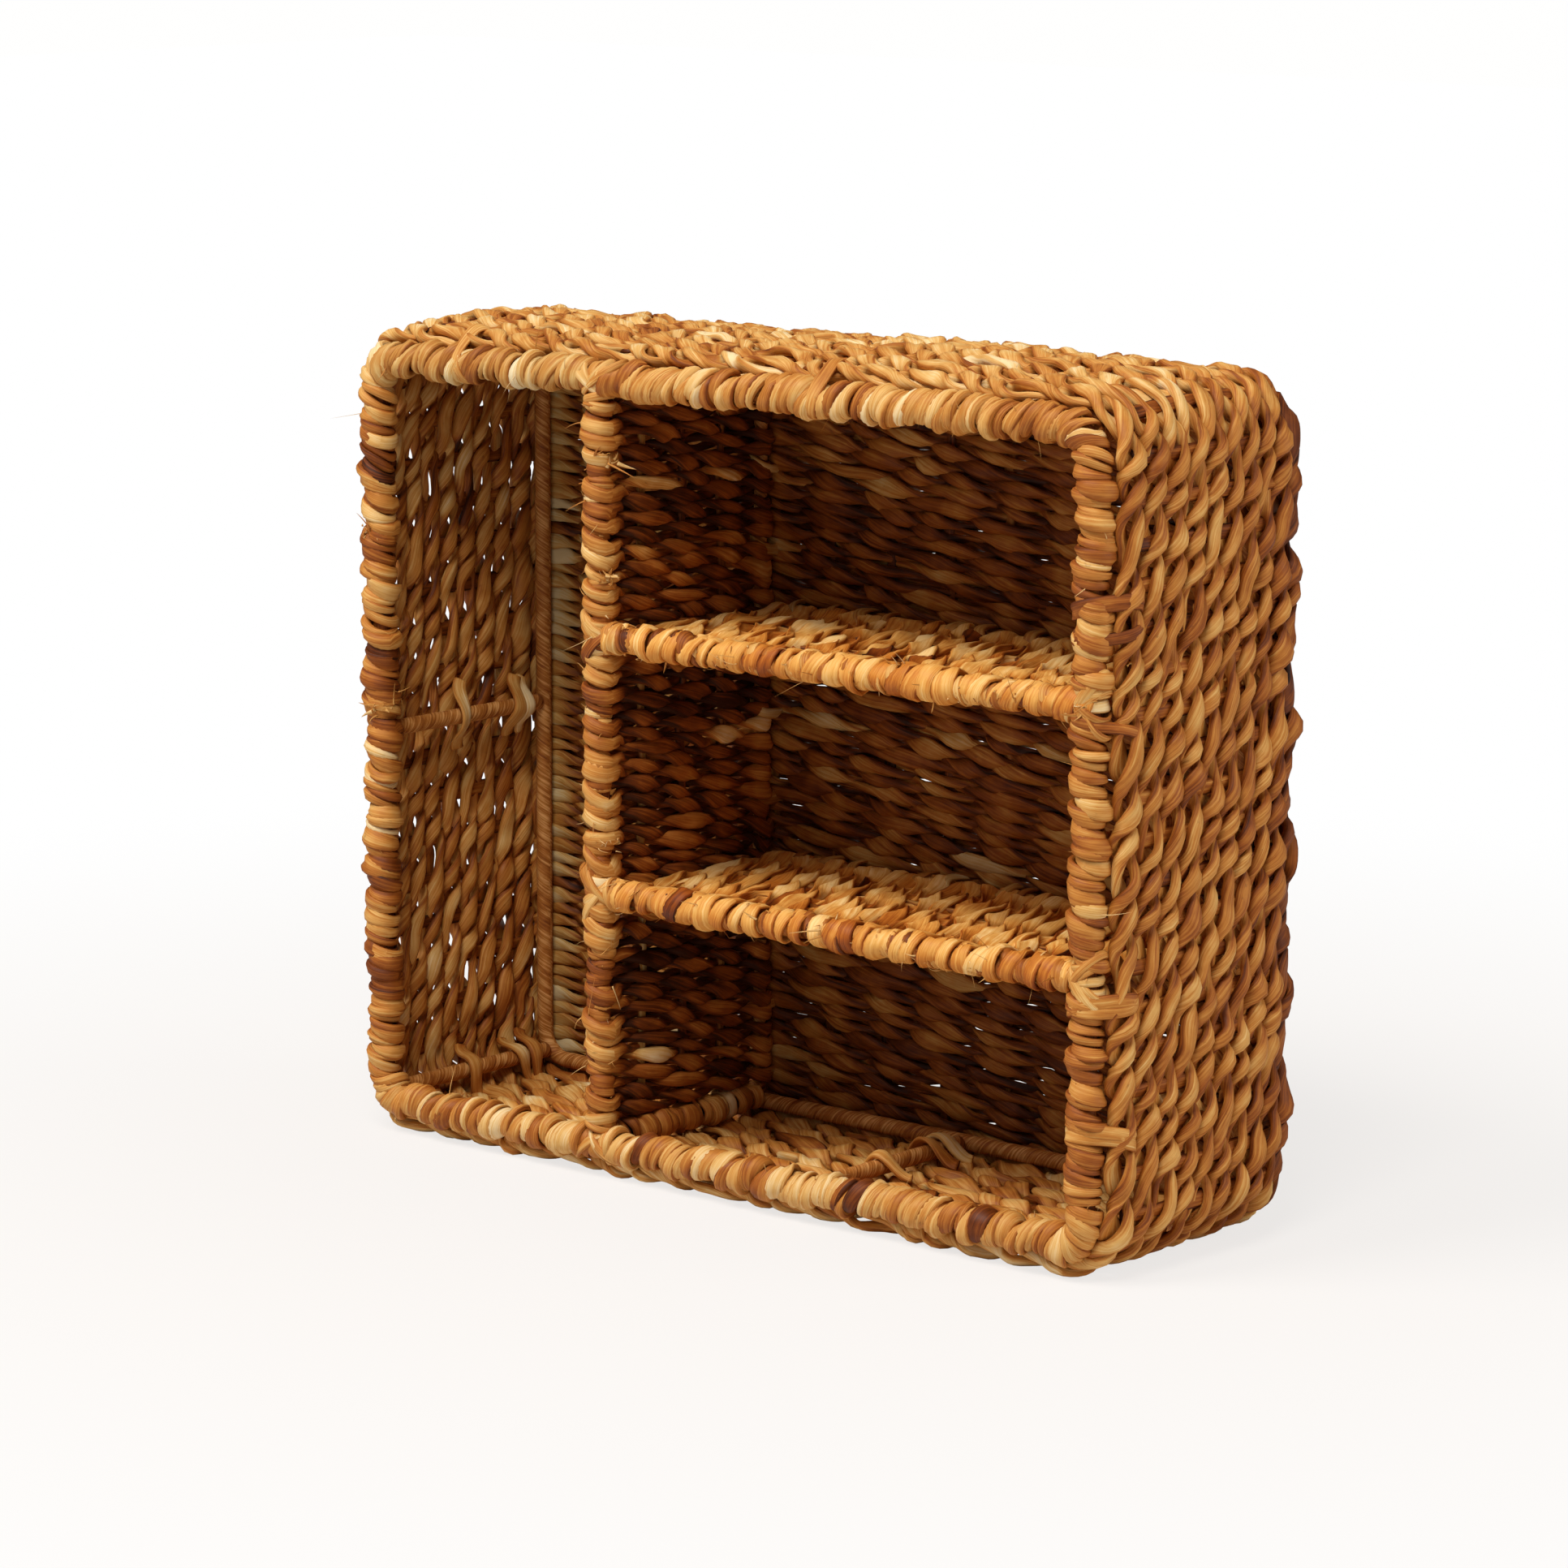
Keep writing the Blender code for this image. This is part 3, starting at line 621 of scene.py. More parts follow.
def turned_rows(name, centre, ways, length, stakes, sizes, front_turn, front_lean, tones, material, seed,
                back_turn=None, hooked=None, slip=0.6 * MM, patches=(), paler=0.0, tilt=0.6, thin=0.0,
                holes=0.0):
    """Rows of two twined strands that are one loop each, laid side by side.

    centre holds each row's starting point. The strand runs along the first of the ways, swings towards the
    second as a cosine and towards the third as a sine, turns back round the far end in a half circle,
    returns half a turn apart, and turns round the start in a half circle of its own radius. sizes are the
    swing, the sway, and the strand's width and depth. Each grain is widest at its crest and slim where it
    crosses, slimmer still by holes at some crossings, and darker where it crosses: painted shade where it
    dives under the other strand. Hooked rows grow wider as they turn round the start and take the tone
    hooked there. They are darker at the patches, which are shares of all the rows, and a share thin of them
    is slight. paler paints light: it makes the outer grains paler towards the start, by row, as if
    lit there. tilt turns the grains' faces to the side.
    """
    rng = np.random.default_rng(seed)
    run, out, aside = ways
    swing, sway, width, depth = sizes
    rows = len(centre)
    length = np.broadcast_to(length, (rows, 1))
    forth = np.linspace(0, 1, stakes * STATIONS_PER_GRAIN + 1)[None].repeat(rows, 0)
    bend = np.linspace(0, np.pi, TURN_STATIONS)[None, 1:-1].repeat(rows, 0)
    x = forth * length
    loose = rng.normal(0, 0.5, (rows, 1)) + 0.8 * wander(rng, x, 1, 0.12)
    phase = np.pi * stakes * forth + loose * np.sin(np.pi * forth)
    uneven = (hooked is not None) * rng.normal(0, 1, (5, rows, 1))
    drawn = 0.9 * MM * uneven[0]
    back_turn = (back_turn or swing) + 0.4 * MM * uneven[3]
    slight = rng.random((rows, 1)) < thin
    front_turn = front_turn + 0.5 * MM * uneven[1] - 1.2 * MM * slight
    front_lean = front_lean + 0.2 * uneven[2]
    near, far = eased(1 - x / NEAR_LENGTH), eased(1 - (length - x) / FAR_LENGTH)
    side_slip = slip * wander(rng, x, 1, 0.07) * np.sin(np.pi * forth)

    def leg(start, x, phase, near, far, slip):
        turn = phase + start
        radius = swing + (front_turn - swing) * near + (back_turn - swing) * far
        radius = radius * (1 + 0.1 * wander(rng, x, 1, 0.04))
        n = radius * np.cos(turn)
        l = sway * np.sin(turn) * (1 - near) + (drawn - front_lean * n) * near
        l = l + 0.35 * uneven[4] * n * far + slip
        face = np.cos(turn)[..., None] * out + tilt * (np.sin(turn) * (1 - near))[..., None] * aside
        return x, n, l, face, turn

    x1, n1, l1, d1, t1 = leg(0, x, phase, near, far, side_slip)
    x3, n3, l3, d3, t3 = leg(np.pi, *(v[:, ::-1] for v in (x, phase, near, far, side_slip)))
    flip = np.cos(t1[:, -1:])
    cosine, sine = np.cos(bend), np.sin(bend)
    x2, x4 = length + back_turn * sine, -front_turn * sine
    n2, n4 = back_turn * flip * cosine, -front_turn * cosine
    l2 = l1[:, -1:] + (l3[:, :1] - l1[:, -1:]) * bend / np.pi
    l4 = l3[:, -1:] + (l1[:, :1] - l3[:, -1:]) * (1 - cosine) / 2
    d2, d4 = swung(bend, flip[..., None] * out, run), swung(bend, -out, -run)
    along, n, l, face = (np.concatenate(parts, 1) for parts in
                         ((x1, x2, x3, x4), (n1, n2, n3, n4), (l1, l2, l3, l4), (d1, d2, d3, d4)))
    path = centre[:, None] + along[..., None] * run + n[..., None] * out + l[..., None] * aside
    count, grains = path.shape[1], 2 * stakes + 2
    grain = np.concatenate([t1 / np.pi + 0.5, np.full_like(x2, stakes + 0.5),
                            stakes + 1 + (t3[:, :1] - t3) / np.pi + 0.5, np.full_like(x4, 2 * stakes + 1)], 1)
    tone = by_grain(leaf_tones(rng, rows, grains, *tones), grain)
    wide = width * (1 + 0.13 * by_grain(rng.normal(0, 1, (rows, grains)), grain))
    crest = np.minimum(1, (n / swing) ** 2)
    is_open = by_grain(np.random.default_rng(seed + 90).random((rows, grains)), grain + 0.5) < OPEN_SHARE
    crossing = 0.62 - holes * is_open
    front = (hooked is not None) * eased(1 - along / HOOK_LENGTH)
    fat = 0.9 + 0.25 * thin - 0.4 * slight + 0.1 * rng.normal(0, 1, (rows, 1))
    fat = fat - 0.05 * np.clip(n / front_turn, -1, 1)
    wide = wide * (fat * front + (crossing + (1.04 - crossing) * crest) * (1 - front))
    share = np.arange(rows)[:, None] / rows
    hook = (hooked or 0) + rng.normal(0, 0.07, (rows, 1)) + 0.04 * wander(rng, along, 1, 0.012)
    dark = sum(np.exp(-((share - patch) / PATCH_HALF) ** 2) for patch in patches)
    # Painted shade: grains are darker where they cross, as one dives under the other.
    tone = (tone - 0.12 * (1 - crest) - 0.14 * dark) * (1 - front) + (hook - 0.3 * dark) * front
    # Painted light: the outer grains are made paler towards the start of each row.
    lit = paler * rng.uniform(0.3, 1.3, (rows, 1)) * eased(1 - along / PAINTED_LIGHT_LENGTH)
    tone = tone + lit * eased(0.5 + n / swing)
    swells = 0.1 * wander(rng, np.arange(count) + 0.0 * wide, count, 9)
    thick = depth * (1 + swells + thin * (1 - slight) * front)
    return strands(name, path, face, wide, thick, tone, material, rng, closed=True)


def stakes_of(name, start, step, count, run, length, out, radius, seed):
    """Straight thin cords side by side inside a woven panel."""
    rng = np.random.default_rng(seed)
    t = np.linspace(0, length, 16)
    path = (start + np.arange(count)[:, None] * step)[:, None] + t[None, :, None] * run
    path = path + 1.2 * MM * wander(rng, t[None].repeat(count, 0), length, 70 * MM)[..., None] * unit(step)
    tone = np.clip(rng.normal(0.35, 0.12, (count, 1)), 0, 1)
    face = np.broadcast_to(out, path.shape)
    strands(name, path, face, 1.8 * radius, radius, tone, PANEL_LEAF, rng, sides=6)


BASE_ROWS, BASE_STAKES = 60, 12
BASE_END = 7 * MM
BASE_CORNER = 24 * MM
BASE_SIZES = (2.6 * MM, 1.3 * MM, 3.2 * MM, 2.0 * MM)
BASE_TONES = (0.455, 0.08, 0.04, 0.03)


def base():
    """The woven back: rows along the width, twined over upright stakes.

    Near the top and the bottom the rows are shorter, by the rise of a circle as round as the corners.
    """
    low, high = box("base_weave")
    pitch = (high[2] - low[2]) / BASE_ROWS
    z = low[2] + pitch * (np.arange(BASE_ROWS) + 0.5)
    middle_y = (low[1] + high[1]) / 2
    round_off = BASE_CORNER - np.minimum(z - low[2], high[2] - z)
    end = BASE_END + BASE_CORNER - np.sqrt(BASE_CORNER ** 2 - np.clip(round_off, 0, BASE_CORNER) ** 2)
    centre = np.stack([low[0] + end, np.full_like(z, middle_y), z], -1)
    length = high[0] - low[0] - 2 * end[:, None]
    third = BASE_ROWS // 3
    for label, first, seed in (("lower", 0, 7), ("middle", third, 11), ("upper", 2 * third, 9)):
        part = slice(first, first + third)
        # The back's rows carry painted light: they are paler towards their left end and on their grains that
        # face the mouth.
        piece = turned_rows(f"base_rows_{label}", centre[part], (AXIS_X, -AXIS_Y, -AXIS_Z), length[part],
                            BASE_STAKES, BASE_SIZES, BASE_SIZES[0], 0.0, BASE_TONES, PANEL_LEAF, seed,
                            slip=0.42 * MM, paler=0.42, holes=0.46)
        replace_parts(piece, "base_weave")
    step = (high[0] - low[0] - 2 * BASE_END) / BASE_STAKES
    start = np.array([low[0] + BASE_END + step, middle_y, low[2] + 2 * MM])
    stakes_of("base_stakes", start, step * AXIS_X, BASE_STAKES - 1, AXIS_Z, high[2] - low[2] - 4 * MM, AXIS_Y,
              1.5 * MM, 8)


base()

PARTITION_LENGTH = BACK_Y - 0.6 * MM - MOUTH_Y
PARTITION_STAKE = 1.2 * MM
DIVIDER_SIZES = (2.4 * MM, 1.8 * MM, 3.0 * MM, 1.8 * MM)
# The divider's mean tone is set low: painted shade for the shade on its faces inside the basket.
DIVIDER_SHADED_TONES = (0.31, 0.08, 0.04, 0.01)
SHELF_SIZES = (1.5 * MM, 4.2 * MM, 3.85 * MM, 1.3 * MM)
SHELF_TONES = (0.72, 0.07, 0.06, 0.02)


def partition(label, rows, stakes, sizes, front_turn, front_lean, tones, material, seed, back_turn, hooked,
              **looks):
    """A woven partition: rows from mouth to back, side by side, each turned once round the front wire."""
    low, high = box(label + "_weave")
    way = int(np.argmax(high - low))
    beside, out = np.eye(3)[way], np.eye(3)[2 - way]
    start = middle_of(label + "_front_wire")
    start[1], start[way] = MOUTH_Y, low[way]
    pitch = (high[way] - low[way]) / rows
    centre = start + pitch * (np.arange(rows) + 0.5)[:, None] * beside
    piece = turned_rows(label + "_rows", centre, (AXIS_Y, out, -beside), PARTITION_LENGTH, stakes, sizes,
                        front_turn, front_lean, tones, material, seed, back_turn, hooked, **looks)
    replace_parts(piece, label + "_weave")
    step = PARTITION_LENGTH / stakes * AXIS_Y
    stakes_of(label + "_stakes", start + step, step, stakes - 1, beside, high[way] - low[way], out,
              PARTITION_STAKE, seed + 1)


partition("divider", 44, 4, DIVIDER_SIZES, 4.5 * MM, -0.42, DIVIDER_SHADED_TONES, RAIL_LEAF, 17, 3.4 * MM, 0.625,
          patches=(0.2, 0.56, 0.83), thin=0.25)
# The shelves carry painted light: their upper grains are paler towards the mouth.
for label, seed, patches in (("upper_shelf", 27, (0.33, 0.59)), ("lower_shelf", 37, (0.13, 0.5, 0.86))):
    partition(label, 30, 3, SHELF_SIZES, 4.7 * MM, 0.4, SHELF_TONES, SHELF_LEAF, seed, 2.3 * MM, 0.67,
              patches=patches, tilt=0.3, paler=0.09, holes=-0.12)


# Windings

OVERLAP = 2 * MM
TURN_STEP, BUNDLE_GAP = 1.4, 0.3
RIM_SIZES = (4.1 * MM, 2.4 * MM, 1.5 * MM)
INNER_SIZES = (3.2 * MM, 2.2 * MM, 0.9 * MM)
FOOT_SIZES = (3.5 * MM, 2.9 * MM, 1.4 * MM)
RAIL_TONES = (0.625, 0.07, 0.02, 0.05)
POST_TONES = (0.53, 0.07, 0.05, 0.05)
LEFT_TONES = (0.62, 0.07, 0.08, 0.06)
INNER_TONES = (0.5, 0.1, 0.08, 0.03)
INNER_PROUD = 0.2 * MM
FOOT_TONES = (0.48, 0.12, 0.15, 0.05)
LEFT_DARK = ((0.163, 0.013, 0.5), (0.255, 0.016, 0.35), (0.222, 0.006, 0.4), (0.062, 0.010, 0.45),
             (0.1, 0.006, 0.35))


def winding(name, line, total, sizes, tones, material, seed, nodes, lean=0.0, proud=1.0 * MM, dark_at=()):
    """Leaves wound round a rod in bundles: a helix whose advance at each turn follows that turn's width.

    line gives place, outward and side direction at the distances it is asked for. sizes are the helix's
    radius and the leaf's half width and depth. The turns of a bundle lie side by side. It stands proud in its
    middle as one less a square, its outer turns roll over to its sides, and it leans: its place along the rod
    falls with the cosine of the angle. Each turn rises and widens as a cosine on its left or on its right, so
    it lies over its neighbours there and dives under them elsewhere. dark_at lists the middle, half length
    and depth of darker stretches.
    """
    rng = np.random.default_rng(seed)
    radius, half_width, depth = sizes
    most = int(total / half_width) + 12
    bundle = rng.integers(2, 4, most)
    owner = np.repeat(np.arange(most), bundle)[:most]
    order = np.arange(most) - np.searchsorted(owner, owner)
    across = (2 * order + 1) / bundle[owner] - 1
    widths = half_width * np.clip(rng.normal(1, 0.22, most), 0.6, 1.5)
    ends = order == bundle[owner] - 1
    edges = np.append(0, np.cumsum(TURN_STEP * widths + BUNDLE_GAP * half_width * ends))
    turns = max(1, int(np.searchsorted(edges, total)) - 1)
    edges = edges[:turns + 1] * (total + OVERLAP) / edges[turns] - OVERLAP / 2
    turn = np.linspace(0, turns, turns * STATIONS_PER_TURN + 1)[None]

    def held(values):
        return by_grain(values[None, :turns + 2], turn)

    angle = np.pi / 4 - TAU * turn
    tilt = held((lean * rng.normal(1, 0.3, most) + rng.normal(0, 0.5 * MM, most))[owner])
    late = held(rng.normal(0, 0.35, most)[owner])
    s = np.interp(turn, np.arange(turns + 1), edges) - tilt * np.cos(angle + late)
    place, outward, side = line(np.clip(s, -OVERLAP, total + OVERLAP))
    radial = swung(angle, outward, side)
    lift = held(proud * (1 - across ** 2) + np.abs(rng.normal(0, 0.25 * MM, most)))
    own = np.cos(angle - held(rng.choice([-2.8, -0.4], most) + rng.normal(0, 0.4, most)))
    lift = lift + held(rng.uniform(0.4, 0.9, most) * MM) * own
    reach = radius + lift + 0.12 * MM * wander(rng, s, total, 9 * MM)
    path = place + reach[..., None] * radial
    ahead = unit(np.gradient(place, axis=1) + 1e-9)
    roll = held(0.5 * across + rng.normal(0, 0.1, most))
    face = radial + roll[..., None] * ahead
    wide = held(widths) * (0.92 + 0.32 * own)
    deep = depth * held(np.clip(rng.normal(1, 0.2, most), 0.6, 1.5)) * (1 + 0.25 * own)
    shade = leaf_tones(rng, 1, most, *tones, run=1)[0]
    shade = np.where(rng.random(most) < 0.5, shade[:most], shade[owner]) + rng.normal(0, GRAIN_SPREAD, most)
    tone = np.clip(held(shade), 0, 1)
    for middle, half, share in dark_at:
        tone = tone * (1 - share * eased(1.5 - np.abs(s - middle) / half))
    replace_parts(strands(name, path, face, wide, deep, tone, material, rng), *nodes)


RIM = Outline(0)


def rim_line(start):
    """The rim from a distance on: place, outward direction and the direction to the back."""
    def line(s):
        place, outward = RIM.at(start + s)
        place[..., 1] += MOUTH_Y
        return place, outward, np.broadcast_to(AXIS_Y, place.shape)
    return line


def straight_line(start, run, outward, side):
    """A straight rod from a point: place, outward direction and side direction."""
    def line(s):
        place = np.array(start) + s[..., None] * run
        return place, np.broadcast_to(outward, place.shape), np.broadcast_to(side, place.shape)
    return line


def rim_windings():
    """The rim's winding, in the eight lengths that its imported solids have, and how far each leans."""
    foot, head = RIM.on_bottom(DIVIDER_X), RIM.on_top(DIVIDER_X)
    lower, upper = RIM.on_right(SHELF_Z["lower"]), RIM.on_right(SHELF_Z["upper"])
    c = [RIM.corner(k) for k in range(4)] + [RIM.corner(0) + RIM.length]
    spans = (
        ("bottom_left", c[3], foot - JOINT_HALF, 1.6, RAIL_TONES),
        ("bottom_right", foot + JOINT_HALF, c[4], 1.6, RAIL_TONES),
        ("right_lower", c[0], lower - JOINT_HALF, 0.7, POST_TONES),
        ("right_middle", lower + JOINT_HALF, upper - JOINT_HALF, 0.7, POST_TONES),
        ("right_upper", upper + JOINT_HALF, c[1], 0.7, POST_TONES),
        ("top_right", c[1], head - JOINT_HALF, 2.4, RAIL_TONES),
        ("top_left", head + JOINT_HALF, c[2], 2.4, RAIL_TONES),
        ("left", c[2], c[3], 1.7, LEFT_TONES),
    )
    for seed, (label, start, end, lean, tones) in enumerate(spans):
        dark_at = [(RIM.on_left(z) - start, half, share) for z, half, share in LEFT_DARK if label == "left"]
        winding("winding_" + label, rim_line(start), end - start, RIM_SIZES, tones,
                TOP_LEAF if label == "top_left" else RAIL_LEAF, 200 + seed, ["rim_wrap_" + label], lean * MM,
                dark_at=dark_at)


rim_windings()


def rail_windings():
    """Thin winding under the turned rows, on the divider's front post and on the shelves' rails."""
    low, high = BOTTOM_Z + 6 * MM, TOP_Z - 6 * MM
    thin = (INNER_SIZES, INNER_TONES, RAIL_LEAF)
    post = straight_line((DIVIDER_X, MOUTH_Y, low), AXIS_Z, AXIS_X, AXIS_Y)
    parts = [f"divider_wrap_{part}" for part in ("lower", "middle", "upper")]
    winding("divider_post_winding", post, high - low, *thin, 301, parts, proud=INNER_PROUD)
    for seed, name in enumerate(("upper", "lower")):
        rail = straight_line((DIVIDER_X + 5 * MM, MOUTH_Y, SHELF_Z[name]), AXIS_X, AXIS_Z, AXIS_Y)
        winding(f"{name}_shelf_rail_winding", rail, RIGHT_X - DIVIDER_X - 10 * MM, *thin, 310 + seed,
                [f"{name}_shelf_wrap"], proud=INNER_PROUD)
    for seed, part in enumerate(("foot", "head")):
        low, high = box(f"divider_{part}_wrap")
        start = (DIVIDER_X, low[1], (low[2] + high[2]) / 2)
        winding(f"divider_{part}_winding", straight_line(start, AXIS_Y, AXIS_X, AXIS_Z), high[1] - low[1],
                FOOT_SIZES, FOOT_TONES, RAIL_LEAF, 320 + seed, [f"divider_{part}_wrap"])


rail_windings()


# Lashings

RUN_LOOPS = ((4.5, 0.15, 4.9), (-4.5, -0.15, 4.9), (0.0, 0.05, 4.8), (1.5, 0.65, 5.2), (-1.5, -0.65, 5.2),
             (3.0, 0.9, 5.6), (-3.0, -0.9, 5.5))
BRANCH_LOOPS = ((7.0, 0.3, 4.9), (9.5, -0.2, 4.8))
KNOT_WIDTH, KNOT_DEPTH = 2.1 * MM, 1.2 * MM


def lashing(name, centre, run, branch, seed, node):
    """Closed loops of leaf over a joint of two rods, crossing over its front.

    Each loop is an ellipse round one of the rods, in a plane tilted towards the other rod. It is given by its
    shift along the rod in millimetres, its tilt and its radius in millimetres.
    """
    rng = np.random.default_rng(seed)
    t = np.linspace(0, TAU, 36, endpoint=False)
    loops = []
    for axis, other, (shift, tilt, radius) in ([(run, branch, loop) for loop in RUN_LOOPS]
                                               + [(branch, run, loop) for loop in BRANCH_LOOPS]):
        tilt = tilt + rng.normal(0, 0.06)
        flat = unit(np.cross(unit(np.cos(tilt) * axis + np.sin(tilt) * other), AXIS_Y))
        origin = np.array(centre) + shift * MM * axis
        reach = radius * MM + 0.2 * MM * np.sin(2 * t + rng.uniform(0, TAU))
        ring = np.cos(t)[:, None] * AXIS_Y + np.sin(t)[:, None] * flat / np.cos(tilt)
        loops.append(origin + reach[:, None] * ring)
    path = np.array(loops)
    face = unit(path - path.mean(1, keepdims=True))
    tone = np.clip(rng.normal(0.66, 0.14, (len(path), 1)), 0.1, 1)
    width = KNOT_WIDTH * np.clip(rng.normal(1, 0.2, (len(path), 1)), 0.7, 1.4)
    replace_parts(strands(name, path, face, width, KNOT_DEPTH, tone, RAIL_LEAF, rng, closed=True), node)


for seed, (part, z, way) in enumerate((("foot", BOTTOM_Z, AXIS_Z), ("head", TOP_Z, -AXIS_Z))):
    lashing(f"divider_{part}_knot", (DIVIDER_X, MOUTH_Y, z), AXIS_X, way, 400 + seed,
            f"divider_{part}_lashing")
for seed, (name, z) in enumerate(SHELF_Z.items()):
    for side, x, way, first in (("left", DIVIDER_X, AXIS_X, 410), ("right", RIGHT_X, -AXIS_X, 420)):
        lashing(f"{name}_shelf_{side}_knot", (x, MOUTH_Y, z), AXIS_Z, way, first + seed,
                f"{name}_shelf_{side}_lashing")


# Rods, crossings, straps and frayed ends

INNER_LEAF_RADIUS = 3.3 * MM
ROD_SIDES = 16
LOOP_STATIONS = 480


def round_rod(name, path, closed, seed, radius, attributes, material):
    """A round rod: a ring of the radius along the path, a little uneven."""
    rng = np.random.default_rng(seed)
    rod = np.array(path)[None]
    start = unit(rod[:, 1:2] - rod[:, :1])
    face = AXIS_X if abs(start[0, 0, 1]) > 0.5 else AXIS_Y
    across, up = frames(rod, np.broadcast_to(face, rod.shape), closed)
    v = walked(rod)
    angle = TAU * np.arange(ROD_SIDES) / ROD_SIDES
    radius = radius * (1 + 0.03 * wander(rng, v[:, :-1], v[0, -1], 12 * MM))[..., None, None]
    points = rod[:, :, None] + radius * swung(angle, across[:, :, None], up[:, :, None])
    points[..., 2] = np.maximum(points[..., 2], 0)
    return ring_mesh(name, points, v, closed, attributes, material)


def rim_loop(y):
    """A loop of the rim's shape, at a depth."""
    place, _ = RIM.at(np.linspace(0, RIM.length, LOOP_STATIONS, endpoint=False))
    place[:, 1] = y
    return place


def wire_points(node, shares, trim=0.0):
    """Places on the middle line of a straight packed wire, as shares of its length less trim at each end."""
    low, high = box(node)
    way = int(np.argmax(high - low))
    ends = np.array([(low + high) / 2] * 2)
    ends[:, way] = low[way] + trim, high[way] - trim
    return ends[0] + shares[:, None] * (ends[1] - ends[0])


def inner_leaves():
    """A smooth dark layer of leaf between each front wire and its winding."""
    paths = {"rim": (rim_loop(MOUTH_Y), True)}
    for label in ("divider", "upper_shelf", "lower_shelf"):
        paths[label] = (wire_points(label + "_front_wire", np.linspace(0, 1, 24), JOINT_HALF), False)
    for seed, (label, (path, closed)) in enumerate(paths.items()):
        round_rod(f"{label}_inner_leaf", path, closed, 550 + seed, INNER_LEAF_RADIUS,
                  {"tone": 0.35, "seed": 3.0}, RAIL_LEAF)


def taped_rods():
    """Every wire under tape, of its packed radius: the base loop, the struts and the back wires."""
    rods = [("base_wire", "base_loop", rim_loop(middle_of("base_wire")[1]), 500)]
    straight = ["divider_back_wire", "upper_shelf_back_wire", "lower_shelf_back_wire"]
    straight += [label for label in frame["nodes"] if "strut" in label]
    for seed, label in enumerate(sorted(straight)):
        name = label.replace("_wire", "_rod").replace("strut", "rod")
        rods.append((label, name, wire_points(label, np.linspace(0, 1, 36)), 510 + seed))
    for node, name, path, seed in rods:
        low, high = box(node)
        radius = np.sort(high - low)[0] / 2
        piece = round_rod(name, path, node == "base_wire", seed, radius, {}, PAPER_TAPE)
        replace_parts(piece, node)


taped_rods()
inner_leaves()


CROSSING_SHARES = (0.5, 0.84, 0.92)
CROSSING_DIP, CROSSING_RISE, CROSSING_DEPTH = 3.2 * MM, 7.9 * MM, 1.4 * MM


def crossings():
    """Strands of the wall that pass over the struts inside the basket.

    Each runs along the wall, rises over the rod as a squared cosine, and bends along the rod as it crosses.
    """
    rng = np.random.default_rng(61)
    t = np.linspace(-1, 1, 33)
    arc = np.cos(np.pi * t / 2)
    rise = -CROSSING_DIP + CROSSING_RISE * arc ** 2
    paths, faces = [], []
    for label in sorted(v for v in frame["nodes"] if "strut" in v):
        low, high = box(label)
        middle = (low + high) / 2
        inward = unit(AXIS_Z * (TOP_Z + BOTTOM_Z) / 2 - middle * (AXIS_X + AXIS_Z))
        if "corner" not in label:
            inward = np.round(inward)
        across = np.cross(AXIS_Y, inward)
        for share in CROSSING_SHARES:
            y = low[1] + (high[1] - low[1]) * (share + rng.normal(0, 0.012))
            reach = rng.uniform(10, 13) * MM
            slip = rng.uniform(-2.5, 2.5) * MM * t - rng.uniform(2, 4) * MM * (1 - t ** 2)
            origin = np.array([middle[0], y, middle[2]])
            paths.append(origin + reach * t[:, None] * across + rise[:, None] * inward
                         + slip[:, None] * AXIS_Y)
            faces.append(inward + 0.9 * np.sin(1.6 * t)[:, None] * across)
    count = len(paths)
    width = rng.uniform(2.9, 3.7, (count, 1)) * MM * (0.75 + 0.25 * arc)
    # Painted shade: each crossing strand darkens towards its ends, where it tucks under the wall.
    tone = np.clip(rng.normal(0.72, 0.1, (count, 1)), 0.2, 0.95) - 0.2 * np.abs(t) ** 3
    strands("rod_crossings", np.array(paths), np.array(faces), width, CROSSING_DEPTH, tone, WALL_LEAF, rng)


crossings()

BAND_STATIONS = 40
RIGHT_STRAPS = (0.224, 0.232, 0.192, 0.0985, 0.0965, 0.054, 0.0505)
LEFT_STRAPS = (0.262, 0.166, 0.160, 0.07)
TOP_STRAPS = (-0.12, 0.045)
BACK_TIES = (("divider", 9), ("upper_shelf", 11), ("lower_shelf", 11))
STRAP_REACH, STRAP_TAPER, STRAP_DEPTH, TIE_DEPTH = 6.4, 1.6, 1.0 * MM, 0.9 * MM


def stadium(late=0.0):
    """The angles round a band, and how far its centre has slid from one end to the other at each."""
    t = np.linspace(0, TAU, BAND_STATIONS, endpoint=False)
    return t, 0.5 - 0.5 * np.tanh(2.2 * np.cos(t + late))


def straps():
    """Closed bands that tie the rim to the first course of the wall.

    Each is a stadium: a circle whose centre slides from the rim to the course as it goes round.
    """
    rng = np.random.default_rng(71)
    spots = ([RIM.on_right(z) for z in RIGHT_STRAPS] + [RIM.on_left(z) for z in LEFT_STRAPS]
             + [RIM.on_top(x) for x in TOP_STRAPS])
    s = np.array(spots) + rng.normal(0, 1.0 * MM, len(spots))
    t, slide = stadium(0.1)
    place, outward = RIM.at(s[:, None] + 2.5 * MM * np.sin(t + rng.uniform(0, TAU, (len(s), 1))))
    depth = middle_of("wall_course_1")[1] - MOUTH_Y
    towards = unit(WALL_MIDDLE * outward[:, :1] + depth * AXIS_Y)
    aside = np.cross(towards, np.cross(outward[:, :1], AXIS_Y))
    face = swung(t, -towards, aside)
    path = place + np.hypot(WALL_MIDDLE, depth) * slide[None, :, None] * towards
    path = path + ((STRAP_REACH - STRAP_TAPER * slide) * MM)[None, :, None] * face
    path[..., 1] += MOUTH_Y
    tone = np.clip(rng.normal(0.6, 0.12, (len(s), 1)), 0.2, 0.9)
    tone[:2] = 0.3
    width = rng.uniform(1.9, 3.0, (len(s), 1)) * MM
    strands("rim_straps", path, face, width, STRAP_DEPTH, tone, RAIL_LEAF, rng, closed=True)


